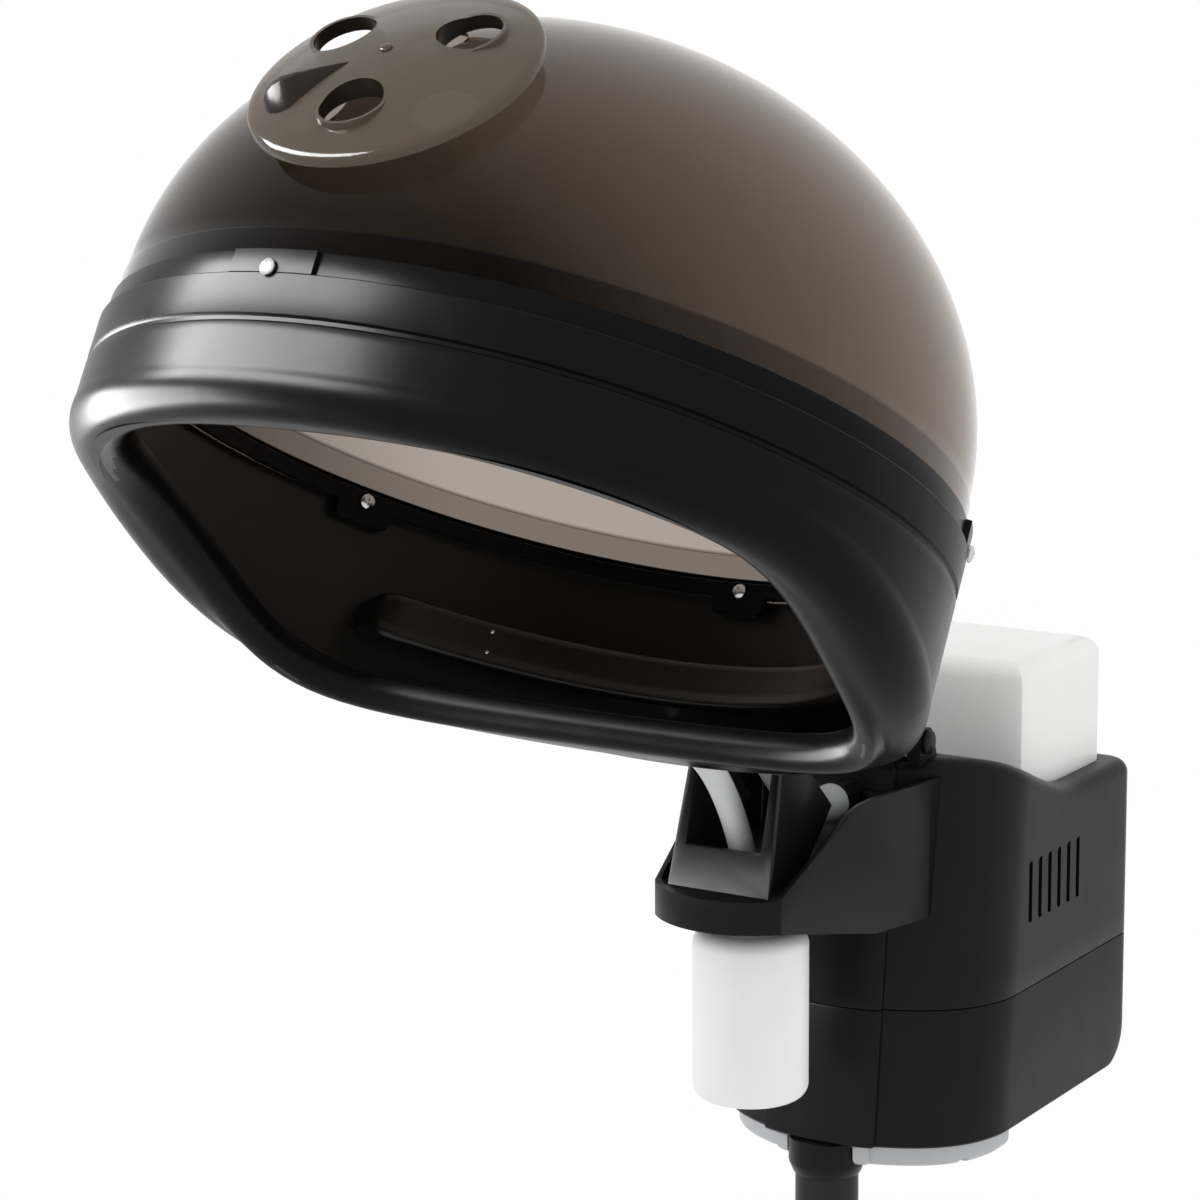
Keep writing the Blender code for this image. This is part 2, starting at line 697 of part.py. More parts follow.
def build_upper_housing(head, paints, screw_holes):
    low = SEAM_Z + GAP / 2
    loops = [
        plan_at(-0.6 * MM, low),
        plan_at(0, low + 0.6 * MM),
        top_plan(0, TOP_ROUND),
        top_plan(-0.29 * TOP_ROUND, 0.29 * TOP_ROUND),
        top_plan(-TOP_ROUND, 0),
    ]
    upper = make_object(
        "upper_housing",
        skin(bmesh.new(), loops, paired_caps=True),
        paints["gloss_black"],
        head,
    )
    room_loops = [
        plan_at(-WALL, low - 1 * MM),
        top_plan(-WALL, TOP_ROUND + WALL),
        top_plan(-WALL - 0.6 * TOP_ROUND, WALL),
    ]
    room = make_object("inside_room", skin(bmesh.new(), room_loops, paired_caps=True), None, head)
    cut(room, make_object("well_shell", well_box(WALL, WELL_FLOOR - WALL, TOP_Z), None, head))
    cut(upper, room)
    cut(upper, make_object("well_room", well_box(0, WELL_FLOOR, TOP_Z + 5 * MM), None, head))
    for side in (-1, 1):
        ear = arc((PIVOT_Y, PIVOT_Z), LUG_R, 180, 0, 10)
        ear += [(PIVOT_Y + LUG_R + 4 * MM, TOP_Z - 2 * MM), (PIVOT_Y - LUG_R, TOP_Z - 2 * MM)]
        plate = add_side_plate(bmesh.new(), ear, side * EAR_INNER, side * EAR_OUTER)
        add(upper, make_object("ear", plate, None, head))
    holes = bmesh.new()
    reach = EAR_OUTER + 9 * MM
    add_rod(holes, PIN_D / 2 + HOLE_GAP, (-reach, PIVOT_Y, PIVOT_Z), (reach, PIVOT_Y, PIVOT_Z))
    add_rod(
        holes,
        STEAM_PIPE_D / 2 + 1 * MM,
        (STEAM_X, OUTLET_END_Y, OUTLET_Z),
        (STEAM_X, 22 * MM, OUTLET_Z),
        24,
    )
    add_rod(
        holes,
        6.5 * MM,
        (0, TANK_MIDDLE, WELL_FLOOR - 2 * WALL),
        (0, TANK_MIDDLE, WELL_FLOOR + WALL),
        24,
    )
    left_out, left_in = -HALF_W - 5 * MM, -HALF_W + 8 * MM
    add_rod(holes, TIMER_SHAFT_D / 2 + 1 * MM, (left_out, TIMER_Y, TIMER_Z), (left_in, TIMER_Y, TIMER_Z))
    add_rod(holes, LAMP_R + HOLE_GAP, (left_out, SWITCH_Y, LAMP_Z), (left_in, SWITCH_Y, LAMP_Z))
    add_box(
        holes,
        (left_out, SWITCH_Y - SWITCH_HOLE[0], SWITCH_Z - SWITCH_HOLE[1]),
        (left_in, SWITCH_Y + SWITCH_HOLE[0], SWITCH_Z + SWITCH_HOLE[1]),
    )
    for k in range(VENT_COUNT):
        y = VENT_FIRST_Y + k * VENT_PITCH
        low_y, high_y = y - VENT_WIDTH / 2, y + VENT_WIDTH / 2
        add_box(holes, (HALF_W - 6 * MM, low_y, VENT_LOW), (HALF_W + 6 * MM, high_y, VENT_HIGH))
    cut(upper, make_object("upper_holes", holes, None, head))
    cut(upper, screw_holes)
    return upper


# The right-hand half of the bracket's plan, a given distance inside its outer face, from front to rear
def bracket_half(inset, rear_y):
    half_angle = radians(BRACKET_HALF_ANGLE)
    radius = BRACKET_R - inset
    points = []
    for k in range(9):
        angle = half_angle * k / 8
        points.append((radius * sin(angle), BRACKET_CENTRE_Y - radius * cos(angle)))
    start_x = BRACKET_R * sin(half_angle)
    start_y = BRACKET_CENTRE_Y - BRACKET_R * cos(half_angle)
    slope = (BRACKET_REAR_HALF - start_x) / (10 * MM - start_y)
    if inset == 0:
        step_x = start_x + slope * (CHEEK_STEP_Y - start_y)
        points += [(step_x, CHEEK_STEP_Y), (step_x - 0.8 * MM, CHEEK_STEP_Y + 0.1 * MM)]
    shift = 0.8 * MM if inset == 0 else inset
    points.append((start_x + slope * (rear_y - start_y) - shift, rear_y))
    return points


def bracket_plan(inset, rear_y):
    half = bracket_half(inset, rear_y)
    return half + [(-x, y) for x, y in reversed(half[1:])]


def build_bracket(head, paints, screw_holes):
    reach = 40 * MM
    half_outer = bracket_half(0, reach)
    half_inner = bracket_half(BRACKET_WALL, reach)
    outer = [(-x, y) for x, y in reversed(half_outer[1:])] + half_outer
    inner = half_inner[::-1] + [(-x, y) for x, y in half_inner[1:]]
    wall = add_prism(bmesh.new(), outer + inner, SHELF_LOW - 30 * MM, CHEEK_TOP + 10 * MM)
    bracket = make_object("front_bracket", wall, paints["gloss_black"], head)
    front = TOWER_FOOT_Y
    side = [(front - 30 * MM, SHELF_LOW), (front, SHELF_LOW), (-33 * MM, SHELF_LOW - 17 * MM)]
    side += [(10 * MM, SHELF_LOW - 19 * MM), (reach + 5 * MM, SHELF_LOW - 19 * MM)]
    side += [(reach + 5 * MM, CHEEK_TOP - 1 * MM), (-34 * MM, CHEEK_TOP), (-46 * MM, CHEEK_TOP - 0.8 * MM)]
    side += [(-54 * MM, CHEEK_TOP - 3.2 * MM), (-60 * MM, CHEEK_TOP - 7 * MM)]
    side += [
        (front + 1 * MM, SHELF_TOP + 1.5 * MM),
        (front - 3 * MM, SHELF_TOP),
        (front - 30 * MM, SHELF_TOP),
    ]
    profile = add_side_plate(bmesh.new(), side, -BRACKET_REAR_HALF - 20 * MM, BRACKET_REAR_HALF + 20 * MM)
    boolean(bracket, make_object("bracket_profile", profile, None, head), "INTERSECT")
    plate = add_prism(bmesh.new(), bracket_plan(1 * MM, 20 * MM), SHELF_TOP - SHELF_PLATE, SHELF_TOP)
    add(bracket, make_object("shelf_plate", plate, None, head))
    lean = sin(radians(TOWER_LEAN)) / cos(radians(TOWER_LEAN))
    rise = TOWER_TOP - SHELF_TOP
    depth = TOWER_PLATE
    tower = bmesh.new()
    foot_z = SHELF_TOP - 1 * MM
    loops = []
    for z, half in ((foot_z, TOWER_FOOT_HALF), (TOWER_TOP, TOWER_TOP_HALF)):
        y = front + lean * (z - SHELF_TOP)
        loops.append([(-half, y, z), (half, y, z), (half, y + depth, z), (-half, y + depth, z)])
    skin(tower, loops)
    tower_tool = make_object("tower_plate", tower, None, head)
    window = bmesh.new()
    add_box(
        window,
        (-WINDOW_HALF, front - 10 * MM, WINDOW_SILL),
        (WINDOW_HALF, front + 40 * MM, TOWER_TOP + 5 * MM),
    )
    cut(tower_tool, make_object("tower_window", window, None, head))
    add(bracket, tower_tool)
    for turn in (-1, 1):
        inner_x = turn * (WINDOW_HALF + 0.4 * MM)
        outer_x = turn * (TOWER_TOP_HALF - 0.4 * MM)
        gusset = [(front + 2 * MM, foot_z), (front + 2 * MM + lean * rise, TOWER_TOP - 0.4 * MM)]
        gusset += [
            (front + 30 * MM + lean * rise, TOWER_TOP - 4 * MM),
            (front + 68 * MM, SHELF_TOP + 30 * MM),
        ]
        gusset += [(front + 36 * MM, foot_z)]
        plate = add_side_plate(bmesh.new(), gusset, inner_x, outer_x)
        add(bracket, make_object("tower_side", plate, None, head))
    half = PILASTER_HALF - 3 * MM
    back = bmesh.new()
    loops = []
    for z in (SHELF_LOW - 14 * MM, CHEEK_TOP - 8 * MM):
        centre_y = FRONT_Y + LEAN * (z - HOUSING_BOTTOM) + FRONT_R
        ring = []
        for grow in (GAP, GAP + BRACKET_WALL):
            radius = FRONT_R + PILASTER_PROUD + grow
            span = asin(half / radius)
            row = [
                (radius * sin(span * k / 4), centre_y - radius * cos(span * k / 4), z)
                for k in range(-4, 5)
            ]
            ring += row if grow == GAP else row[::-1]
        loops.append(ring)
    skin(back, loops)
    add(bracket, make_object("bracket_back", back, None, head))
    clear = [plan_at(GAP, SHELF_LOW - 40 * MM), plan_at(GAP, TOWER_TOP + 10 * MM)]
    cut(bracket, make_object("housing_clearance", skin(bmesh.new(), clear, paired_caps=True), None, head))
    holes = bmesh.new()
    add_rod(holes, HOSE_HOLE_R, (0, BOTTLE_Y, SHELF_TOP - 8 * MM), (0, BOTTLE_Y, SHELF_TOP + 4 * MM), 24)
    add_rod(
        holes,
        STEAM_PIPE_D / 2 + 1 * MM,
        (STEAM_X, OUTLET_END_Y, OUTLET_Z),
        (STEAM_X, 22 * MM, OUTLET_Z),
        24,
    )
    cut(bracket, make_object("bracket_holes", holes, None, head))
    cut(bracket, screw_holes)
    for name, (x, z) in zip(("bracket_screw_left", "bracket_screw_right"), SCREW_PLACES):
        centre_y = FRONT_Y + LEAN * (z - HOUSING_BOTTOM) + FRONT_R
        radius = FRONT_R + PILASTER_PROUD + GAP + BRACKET_WALL
        head_y = centre_y - sqrt(radius**2 - (abs(x) - SCREW_HEAD_D / 2) ** 2) - GAP
        screw = screw_mesh(SCREW_D, SCREW_HEAD_D, SCREW_HEAD_H, 10 * MM)
        make_object(name, screw, paints["steel"], head, (x, head_y, z), (pi / 2, 0, 0))
    collar_top = SHELF_TOP - SHELF_PLATE - GAP
    bore = BOTTLE_NECK_D + 2 * GAP
    collar = turned(
        [
            (HOSE_HOLE_R, collar_top),
            (BOTTLE_NECK_D / 2 + BOTTLE_COLLAR_WALL, collar_top),
            (BOTTLE_NECK_D / 2 + BOTTLE_COLLAR_WALL, BOTTLE_SHOULDER + 4 * MM),
            (bore / 2, BOTTLE_SHOULDER + 4 * MM),
            (bore / 2, BOTTLE_MOUTH + GAP),
            (HOSE_HOLE_R, BOTTLE_MOUTH + GAP),
        ],
        28,
    )
    make_object("bottle_collar", collar, paints["rubber"], head, (0, BOTTLE_Y, 0))


def build_bottle(head, paints):
    outer = BOTTLE_D / 2
    inner = outer - BOTTLE_WALL
    neck = BOTTLE_NECK_D / 2
    foot = BOTTLE_BOTTOM
    profile = [(0, foot + 1 * MM), (outer - 10 * MM, foot + 1 * MM), (outer - 7 * MM, foot)]
    profile += [
        (outer - 7 * MM + 7 * MM * sin(t), foot + 7 * MM - 7 * MM * cos(t))
        for t in (0.5, 1.05, pi / 2)
    ]
    shoulder = BOTTLE_SHOULDER
    profile += [
        (outer - 8 * MM + 8 * MM * cos(t), shoulder - 8 * MM + 8 * MM * sin(t))
        for t in (0, 0.5, 1.05, 1.45)
    ]
    profile += [(neck, shoulder + 1 * MM), (neck, BOTTLE_MOUTH), (neck - BOTTLE_WALL, BOTTLE_MOUTH)]
    profile += [(neck - BOTTLE_WALL, shoulder - BOTTLE_WALL), (inner - 5 * MM, shoulder - 4 * MM)]
    profile += [(inner, shoulder - 9 * MM), (inner, foot + 9 * MM), (inner - 6 * MM, foot + 4 * MM)]
    profile += [(0, foot + 4 * MM)]
    slide = make_empty("bottle_drop", (0, BOTTLE_Y, 0), head)
    make_object("condensate_bottle", turned(profile, 24), paints["white"], slide)


def build_boiler(head, paints):
    low = FLOOR_TOP + GAP
    top = low + BOILER_H
    r = BOILER_R
    inner = r - BOILER_WALL
    cup = [(0, low), (r, low), (r, top), (inner, top), (inner, low + BOILER_WALL), (0, low + BOILER_WALL)]
    make_object("boiler_cup", turned(cup, 36), paints["steel"], head, (0, BOILER_Y, 0))
    lid_low = top + GAP
    lid_top = lid_low + LID_T
    neck_top = lid_top + SPOUT_H
    neck = STEAM_PIPE_D / 2
    edge = r + LID_LIP
    lid_disc = turned([(0, lid_low), (edge, lid_low), (edge, lid_top), (0, lid_top)], 36)
    lid = make_object("boiler_lid", lid_disc, paints["steel"], head, (0, BOILER_Y, 0))
    spout = add_rod(bmesh.new(), neck, (0, SPOUT_Y, lid_low + 1 * MM), (0, SPOUT_Y, neck_top), 20)
    add(lid, make_object("lid_spout", spout, None, head, (0, BOILER_Y, 0)))
    leg_x, leg_y, rod = ELEMENT_LEG_X, ELEMENT_LEG_Y, ELEMENT_ROD_R
    below, above = lid_low - 1 * MM, lid_top + 1 * MM
    holes = bmesh.new()
    add_rod(holes, SPOUT_BORE_R, (0, SPOUT_Y, below), (0, SPOUT_Y, neck_top + 1 * MM), 16)
    add_rod(holes, FEED_BORE_R, (0, FEED_Y, below), (0, FEED_Y, above), 16)
    for side in (-1, 1):
        x = side * leg_x
        add_rod(holes, rod + HOLE_GAP, (x, leg_y, below), (x, leg_y, above), 16)
    cut(lid, make_object("lid_holes", holes, None, head, (0, BOILER_Y, 0)))
    ring_z = low + ELEMENT_LIFT
    tail = lid_top + ELEMENT_TAIL
    ring_r = sqrt(leg_x**2 + leg_y**2)
    start = atan2(leg_y, leg_x)
    points = [(leg_x, BOILER_Y + leg_y, tail), (leg_x, BOILER_Y + leg_y, ring_z + 5 * MM)]
    sweep_angle = -(2 * pi - (pi - 2 * start))
    for k in range(17):
        angle = start + sweep_angle * k / 16
        points.append((ring_r * cos(angle), BOILER_Y + ring_r * sin(angle), ring_z))
    points += [(-leg_x, BOILER_Y + leg_y, ring_z + 5 * MM), (-leg_x, BOILER_Y + leg_y, tail)]
    make_hose("heating_element", points, 2 * rod, paints["steel"], head)
    puck_low, puck_r = lid_top + GAP, THERMOSTAT_R
    puck_top = lid_top + THERMOSTAT_R
    puck = turned([(0, puck_low), (puck_r, puck_low), (puck_r, puck_top), (0, puck_top)], 20)
    make_object(
        "thermostat",
        puck,
        paints["brass"],
        head,
        (THERMOSTAT_PLACE[0], BOILER_Y + THERMOSTAT_PLACE[1], 0),
    )
    start = Vector((0, BOILER_Y + SPOUT_Y, neck_top + GAP))
    end = Vector((STEAM_X, OUTLET_END_Y, OUTLET_Z))
    corner = Vector((STEAM_X, 26 * MM, OUTLET_Z))
    bend = sweep(start, Vector((0, 0, 70 * MM)), corner, Vector((0, -26 * MM, 0)), 9)
    make_hose("steam_pipe", bend + [end], STEAM_PIPE_D, paints["brass"], head)
    return lid_top


def build_tank(head, paints, lid_top):
    seat_top = WELL_FLOOR + GAP + SEAT_BASE
    cup_r = CAP_D / 2 + 0.6 * MM
    seat = turned(
        [
            (0, WELL_FLOOR + GAP - 18 * MM),
            (6 * MM, WELL_FLOOR + GAP - 18 * MM),
            (6 * MM, WELL_FLOOR + GAP),
            (cup_r + 3 * MM, WELL_FLOOR + GAP),
            (cup_r + 3 * MM, seat_top + SEAT_WALL_H),
            (cup_r, seat_top + SEAT_WALL_H),
            (cup_r, seat_top),
            (2 * MM, seat_top),
            (2 * MM, seat_top + 2 * MM),
            (0, seat_top + 2 * MM),
        ],
        28,
    )
    make_object("tank_seat", seat, paints["rubber"], head, (0, TANK_MIDDLE, 0))
    feed_start = Vector((0, TANK_MIDDLE, WELL_FLOOR - 18 * MM))
    feed_end = Vector((0, BOILER_Y + FEED_Y, lid_top + GAP))
    feed = sweep(feed_start, Vector((0, 0, -22 * MM)), feed_end, Vector((0, 0, -22 * MM)), 8)
    make_hose("feed_tube", feed, FEED_D, paints["white"], head)
    lift = make_empty("tank_lift", (0, TANK_MIDDLE, 0), head)
    cap_low = seat_top + GAP
    body_low = cap_low + CAP_H + GAP
    half_y = (TANK_REAR - TANK_FRONT) / 2

    def tank_loop(inset, z):
        corner = max(TANK_CORNER - inset, 2 * MM)
        plan = rounded_rectangle(
            -TANK_HALF + inset,
            TANK_HALF - inset,
            -half_y + inset,
            half_y - inset,
            corner,
        )
        return [(x, y, z) for x, y in plan]

    edge = TANK_EDGE
    body = skin(
        bmesh.new(),
        [
            tank_loop(6 * MM, body_low),
            tank_loop(1.8 * MM, body_low + 1.8 * MM),
            tank_loop(0, body_low + 6 * MM),
            tank_loop(0, TANK_TOP - edge),
            tank_loop(0.134 * edge, TANK_TOP - 0.5 * edge),
            tank_loop(0.5 * edge, TANK_TOP - 0.134 * edge),
            tank_loop(edge, TANK_TOP),
        ],
    )
    tank = make_object("water_tank", body, paints["white"], lift)
    neck_low = cap_low + 3 * MM
    neck = add_rod(bmesh.new(), NECK_D / 2, (0, 0, neck_low), (0, 0, body_low + 2 * MM), 28)
    add(tank, make_object("tank_neck", neck, None, lift))
    wall = TANK_WALL
    inside = skin(
        bmesh.new(),
        [
            tank_loop(8 * MM, body_low + wall),
            tank_loop(wall, body_low + 8 * MM),
            tank_loop(wall, TANK_TOP - edge),
            tank_loop(edge, TANK_TOP - wall),
        ],
    )
    cut(tank, make_object("tank_inside", inside, None, lift))
    bore = add_rod(
        bmesh.new(),
        NECK_D / 2 - 2.5 * MM,
        (0, 0, neck_low - 1 * MM),
        (0, 0, body_low + 6 * MM),
        28,
    )
    cut(tank, make_object("neck_bore", bore, None, lift))
    stem_r = STEM_D / 2
    cap = turned(
        [
            (stem_r + HOLE_GAP, cap_low),
            (CAP_D / 2 - 1 * MM, cap_low),
            (CAP_D / 2, cap_low + 1 * MM),
            (CAP_D / 2, cap_low + CAP_H),
            (NECK_D / 2 + GAP, cap_low + CAP_H),
            (NECK_D / 2 + GAP, neck_low - GAP),
            (stem_r + HOLE_GAP, neck_low - GAP),
        ],
        28,
    )
    make_object("tank_cap", cap, paints["pale_grey"], lift)
    flange_low = neck_low
    stem = turned(
        [
            (0, seat_top + 2 * MM + GAP),
            (stem_r, seat_top + 2 * MM + GAP),
            (stem_r, flange_low),
            (stem_r + 5 * MM, flange_low),
            (stem_r + 5 * MM, flange_low + 2.5 * MM),
            (0, flange_low + 2.5 * MM),
        ],
        20,
    )
    make_object("valve_stem", stem, paints["rubber"], lift)


def build_controls(head, paints):
    face = -HALF_W
    inside = face + WALL + GAP
    half = TIMER_BOX / 2
    timer = add_box(
        bmesh.new(),
        (inside, TIMER_Y - half, TIMER_Z - half),
        (inside + TIMER_DEPTH, TIMER_Y + half, TIMER_Z + half),
    )
    timer = make_object("timer_body", timer, paints["pale_grey"], head)
    shaft_end = face - 11 * MM
    shaft_start = (inside + 4 * MM, TIMER_Y, TIMER_Z)
    shaft = add_rod(bmesh.new(), TIMER_SHAFT_D / 2, shaft_start, (shaft_end, TIMER_Y, TIMER_Z))
    add(timer, make_object("timer_shaft", shaft, None, head))
    spin = make_empty("timer_turn", (face, TIMER_Y, TIMER_Z), head)
    r = TIMER_KNOB_D / 2
    bore = TIMER_SHAFT_D / 2 + HOLE_GAP
    knob = turned(
        [
            (bore, GAP),
            (r, GAP),
            (r, 3 * MM),
            (r - 2 * MM, 4 * MM),
            (r - 3 * MM, 14 * MM),
            (r - 4.5 * MM, 15.5 * MM),
            (0, 15.5 * MM),
            (0, 11 * MM + GAP),
            (bore, 11 * MM + GAP),
        ],
        32,
    )
    knob = make_object("timer_knob", knob, paints["dark_grey"], spin, (0, 0, 0), (0, -pi / 2, 0))
    fin = add_box(bmesh.new(), (-2 * MM, -r + 3.5 * MM, 14 * MM), (2 * MM, r - 3.5 * MM, 18 * MM))
    add(knob, make_object("knob_fin", fin, None, spin, (0, 0, 0), (0, -pi / 2, 0)))
    y, z = SWITCH_Y, SWITCH_Z
    wide, tall = SWITCH_HOLE[0] - GAP, SWITCH_HOLE[1] - GAP
    body = add_box(bmesh.new(), (face - 1 * MM, y - wide, z - tall), (face + 20 * MM, y + wide, z + tall))
    body = make_object("switch_body", body, paints["dark_grey"], head)
    wide, tall = SWITCH_HOLE[0] + 2.5 * MM, SWITCH_HOLE[1] + 2.5 * MM
    flange = add_box(bmesh.new(), (face - 2.5 * MM, y - wide, z - tall), (face - GAP, y + wide, z + tall))
    add(body, make_object("switch_flange", flange, None, head))
    wide, tall = SWITCH_HOLE[0] - 2.5 * MM, SWITCH_HOLE[1] - 2 * MM
    recess = add_box(bmesh.new(), (face - 6 * MM, y - wide, z - tall), (face + 9 * MM, y + wide, z + tall))
    cut(body, make_object("switch_recess", recess, None, head))
    rock = make_empty("power_rock", (face + 5 * MM, y, z), head)
    plan = [(-9.2 * MM, -8.6 * MM), (-6.5 * MM, 0), (-8.2 * MM, 8.6 * MM), (-2 * MM, 8.8 * MM)]
    plan += [(3.4 * MM, 2 * MM), (3.4 * MM, -2 * MM), (-2 * MM, -8.8 * MM)]
    make_object("power_rocker", add_prism(bmesh.new(), plan, -6 * MM, 6 * MM), paints["red"], rock)
    lamp = turned(
        [
            (0, -2.6 * MM),
            (5 * MM, -2 * MM),
            (6 * MM, -GAP),
            (LAMP_R, -GAP),
            (LAMP_R, 12 * MM),
            (0, 12 * MM),
        ], 20
    )
    make_object("pilot_lamp", lamp, paints["red"], head, (face, y, LAMP_Z), (0, pi / 2, 0))
    x, z = INLET_X, INLET_Z
    wide, tall = INLET_HOLE[0] - GAP, INLET_HOLE[1] - GAP
    inlet = add_box(
        bmesh.new(), (x - wide, REAR_Y - 22 * MM, z - tall), (x + wide, REAR_Y + 1 * MM, z + tall)
    )
    inlet = make_object("power_inlet", inlet, paints["dark_grey"], head)
    edge_x, edge_z = INLET_HOLE[0] + INLET_RIM, INLET_HOLE[1] + INLET_RIM
    flange = add_box(
        bmesh.new(), (x - edge_x, REAR_Y + GAP, z - edge_z), (x + edge_x, REAR_Y + 2.6 * MM, z + edge_z)
    )
    add(inlet, make_object("inlet_flange", flange, None, head))
    wide, tall = INLET_HOLE[0] - INLET_RIM, INLET_HOLE[1] - 2.5 * MM
    recess = add_box(
        bmesh.new(), (x - wide, REAR_Y - 14 * MM, z - tall), (x + wide, REAR_Y + 5 * MM, z + tall)
    )
    cut(inlet, make_object("inlet_recess", recess, None, head))
    block_low = (HALF_W - BLOCK_INSET - BLOCK_SIZE[0], REAR_Y - BLOCK_BACK - BLOCK_SIZE[1], FLOOR_TOP + GAP)
    block_high = (HALF_W - BLOCK_INSET, REAR_Y - BLOCK_BACK, FLOOR_TOP + BLOCK_SIZE[2])
    block = add_box(bmesh.new(), block_low, block_high)
    make_object("terminal_block", block, paints["white"], head)


def rim_height(y):
    return -RIM_FRONT - RIM_DROP * smooth_step((y - DROP_START) / (DROP_END - DROP_START))


# Plan radius of the mouth's edge: an oval front that runs into squarer rear corners
def mouth_radius(turn):
    front = cos(turn) > 0
    length = MOUTH_FRONT if front else MOUTH_REAR
    power = 2.5 if front else 4.5
    across = abs(sin(turn)) / MOUTH_HALF
    along = abs(cos(turn)) / length
    return (across**power + along**power) ** (-1 / power)


# One (radius, height) slice of the bowl: band, groove, roll and lip, then back up the inside
def bowl_slice(turn):
    r, t = BOWL_R, BOWL_WALL
    ahead = -cos(turn)
    swing = min(turn, 2 * pi - turn)
    behind = smooth_step((swing - radians(92)) / radians(52))
    roll = ROLL_FRONT + (ROLL_SIDE - ROLL_FRONT) * smooth_step(swing / (pi / 2))
    roll -= (ROLL_SIDE - ROLL_REAR) * behind
    lip_r = LIP_REAR_R + (LIP_FRONT_R - LIP_REAR_R) * (1 + cos(turn)) / 2
    mouth = mouth_radius(turn)
    low = rim_height((r - roll) * ahead) + REAR_RAISE * behind
    low_in = rim_height((mouth + lip_r) * ahead)
    groove_low = -GROOVE_TOP - GROOVE_H
    points = [(r - RECESS_DEPTH, 0), (r - RECESS_DEPTH, -RECESS_H), (r, -RECESS_H - 0.4 * MM)]
    points += [(r, -GROOVE_TOP), (r - GROOVE_DEPTH, -GROOVE_TOP - 0.3 * GROOVE_H)]
    points += [(r - GROOVE_DEPTH, groove_low + 0.3 * GROOVE_H), (r, groove_low)]
    points += arc((r - roll, low + roll), roll, 0, -90, 4)
    points += arc((mouth + lip_r, low_in + lip_r), lip_r, 270, 180, 3)
    lip_top = low_in + lip_r + LIP_RISE
    points += [(mouth, lip_top), (mouth + t / 2, lip_top + t / 2), (mouth + t, lip_top)]
    points += arc((mouth + lip_r, low_in + lip_r), lip_r - t, 180, 270, 2)
    points += arc((r - roll, low + roll), roll - t, -90, 0, 3)
    points += [(r - t, 0)]
    return points


def in_hood(radius, turn, height):
    return (radius * sin(turn), -radius * cos(turn), height)


# A block between two radii, round part of the hood
def ring_block(bm, r_low, r_high, middle, width, h_low, h_high, count=4):
    half = width / (2 * r_high)
    rows = []
    for k in range(count + 1):
        turn = radians(middle) - half + 2 * half * k / count
        rows.append(
            [
                in_hood(r_low, turn, h_low),
                in_hood(r_high, turn, h_low),
                in_hood(r_high, turn, h_high),
                in_hood(r_low, turn, h_high),
            ]
        )
    return skin(bm, rows)


ARM_SCREWS = ((-17 * MM, -22 * MM), (17 * MM, -22 * MM), (-17 * MM, -39 * MM), (17 * MM, -39 * MM))
MANIFOLD_SCREW_TURNS = (148.0, 212.0)
MANIFOLD_SCREW_H = -60.0 * MM
# How far a flat of the round hood pieces lies inside their true circle
FLAT_SAG = BOWL_R * (1 - cos(pi / ROUND_STEPS))


def build_bowl(hood, paints, screw_holes):
    count = ROUND_STEPS
    slices = [bowl_slice(2 * pi * k / count) for k in range(count)]
    loops = []
    for i in range(len(slices[0])):
        loops.append([in_hood(slices[k][i][0], 2 * pi * k / count, slices[k][i][1]) for k in range(count)])
    bowl = make_object("hood_bowl", skin(bmesh.new(), loops, wrap=True), paints["gloss_black"], hood)
    tabs = bmesh.new()
    for turn in TAB_TURNS:
        ring_block(tabs, BOWL_R - RECESS_DEPTH - 0.8 * MM, BOWL_R, turn, TAB_WIDTH, -RECESS_H - 1 * MM, 0)
    add(bowl, make_object("bowl_tabs", tabs, None, hood))
    root = BOWL_R - 0.67 * BOWL_WALL
    reach = asin((PAD_HALF - 1 * MM) / root)
    pad = [(PAD_HALF, PAD_FACE), (-PAD_HALF, PAD_FACE)]
    for k in range(9):
        x, y, _ = in_hood(root, pi + reach - 2 * reach * k / 8, 0)
        pad.append((x, y))
    add(bowl, make_object("arm_pad", add_prism(bmesh.new(), pad, PAD_LOW, PAD_HIGH), None, hood))
    cut(bowl, screw_holes)
    holes = bmesh.new()
    wall_in, wall_out = BOWL_R - 12 * MM, BOWL_R + 6 * MM
    add_rod(holes, STEAM_INLET_R + HOLE_GAP, (STEAM_X, wall_in, STEAM_H), (STEAM_X, wall_out, STEAM_H))
    add_rod(holes, DRAIN_TAIL_R + HOLE_GAP, (DRAIN_X, wall_in, DRAIN_H), (DRAIN_X, wall_out, DRAIN_H))
    for turn in MANIFOLD_SCREW_TURNS:
        low = in_hood(BOWL_R - 10 * MM, radians(turn), MANIFOLD_SCREW_H)
        high = in_hood(BOWL_R + 6 * MM, radians(turn), MANIFOLD_SCREW_H)
        add_rod(holes, SCREW_D / 2 + HOLE_GAP, low, high, 12)
    for x, z in ARM_SCREWS:
        add_rod(holes, SCREW_D / 2 + HOLE_GAP, (x, BOWL_R - 0.5 * MM, z), (x, PAD_FACE + 2 * MM, z), 12)
    cut(bowl, make_object("bowl_holes", holes, None, hood))
    return bowl


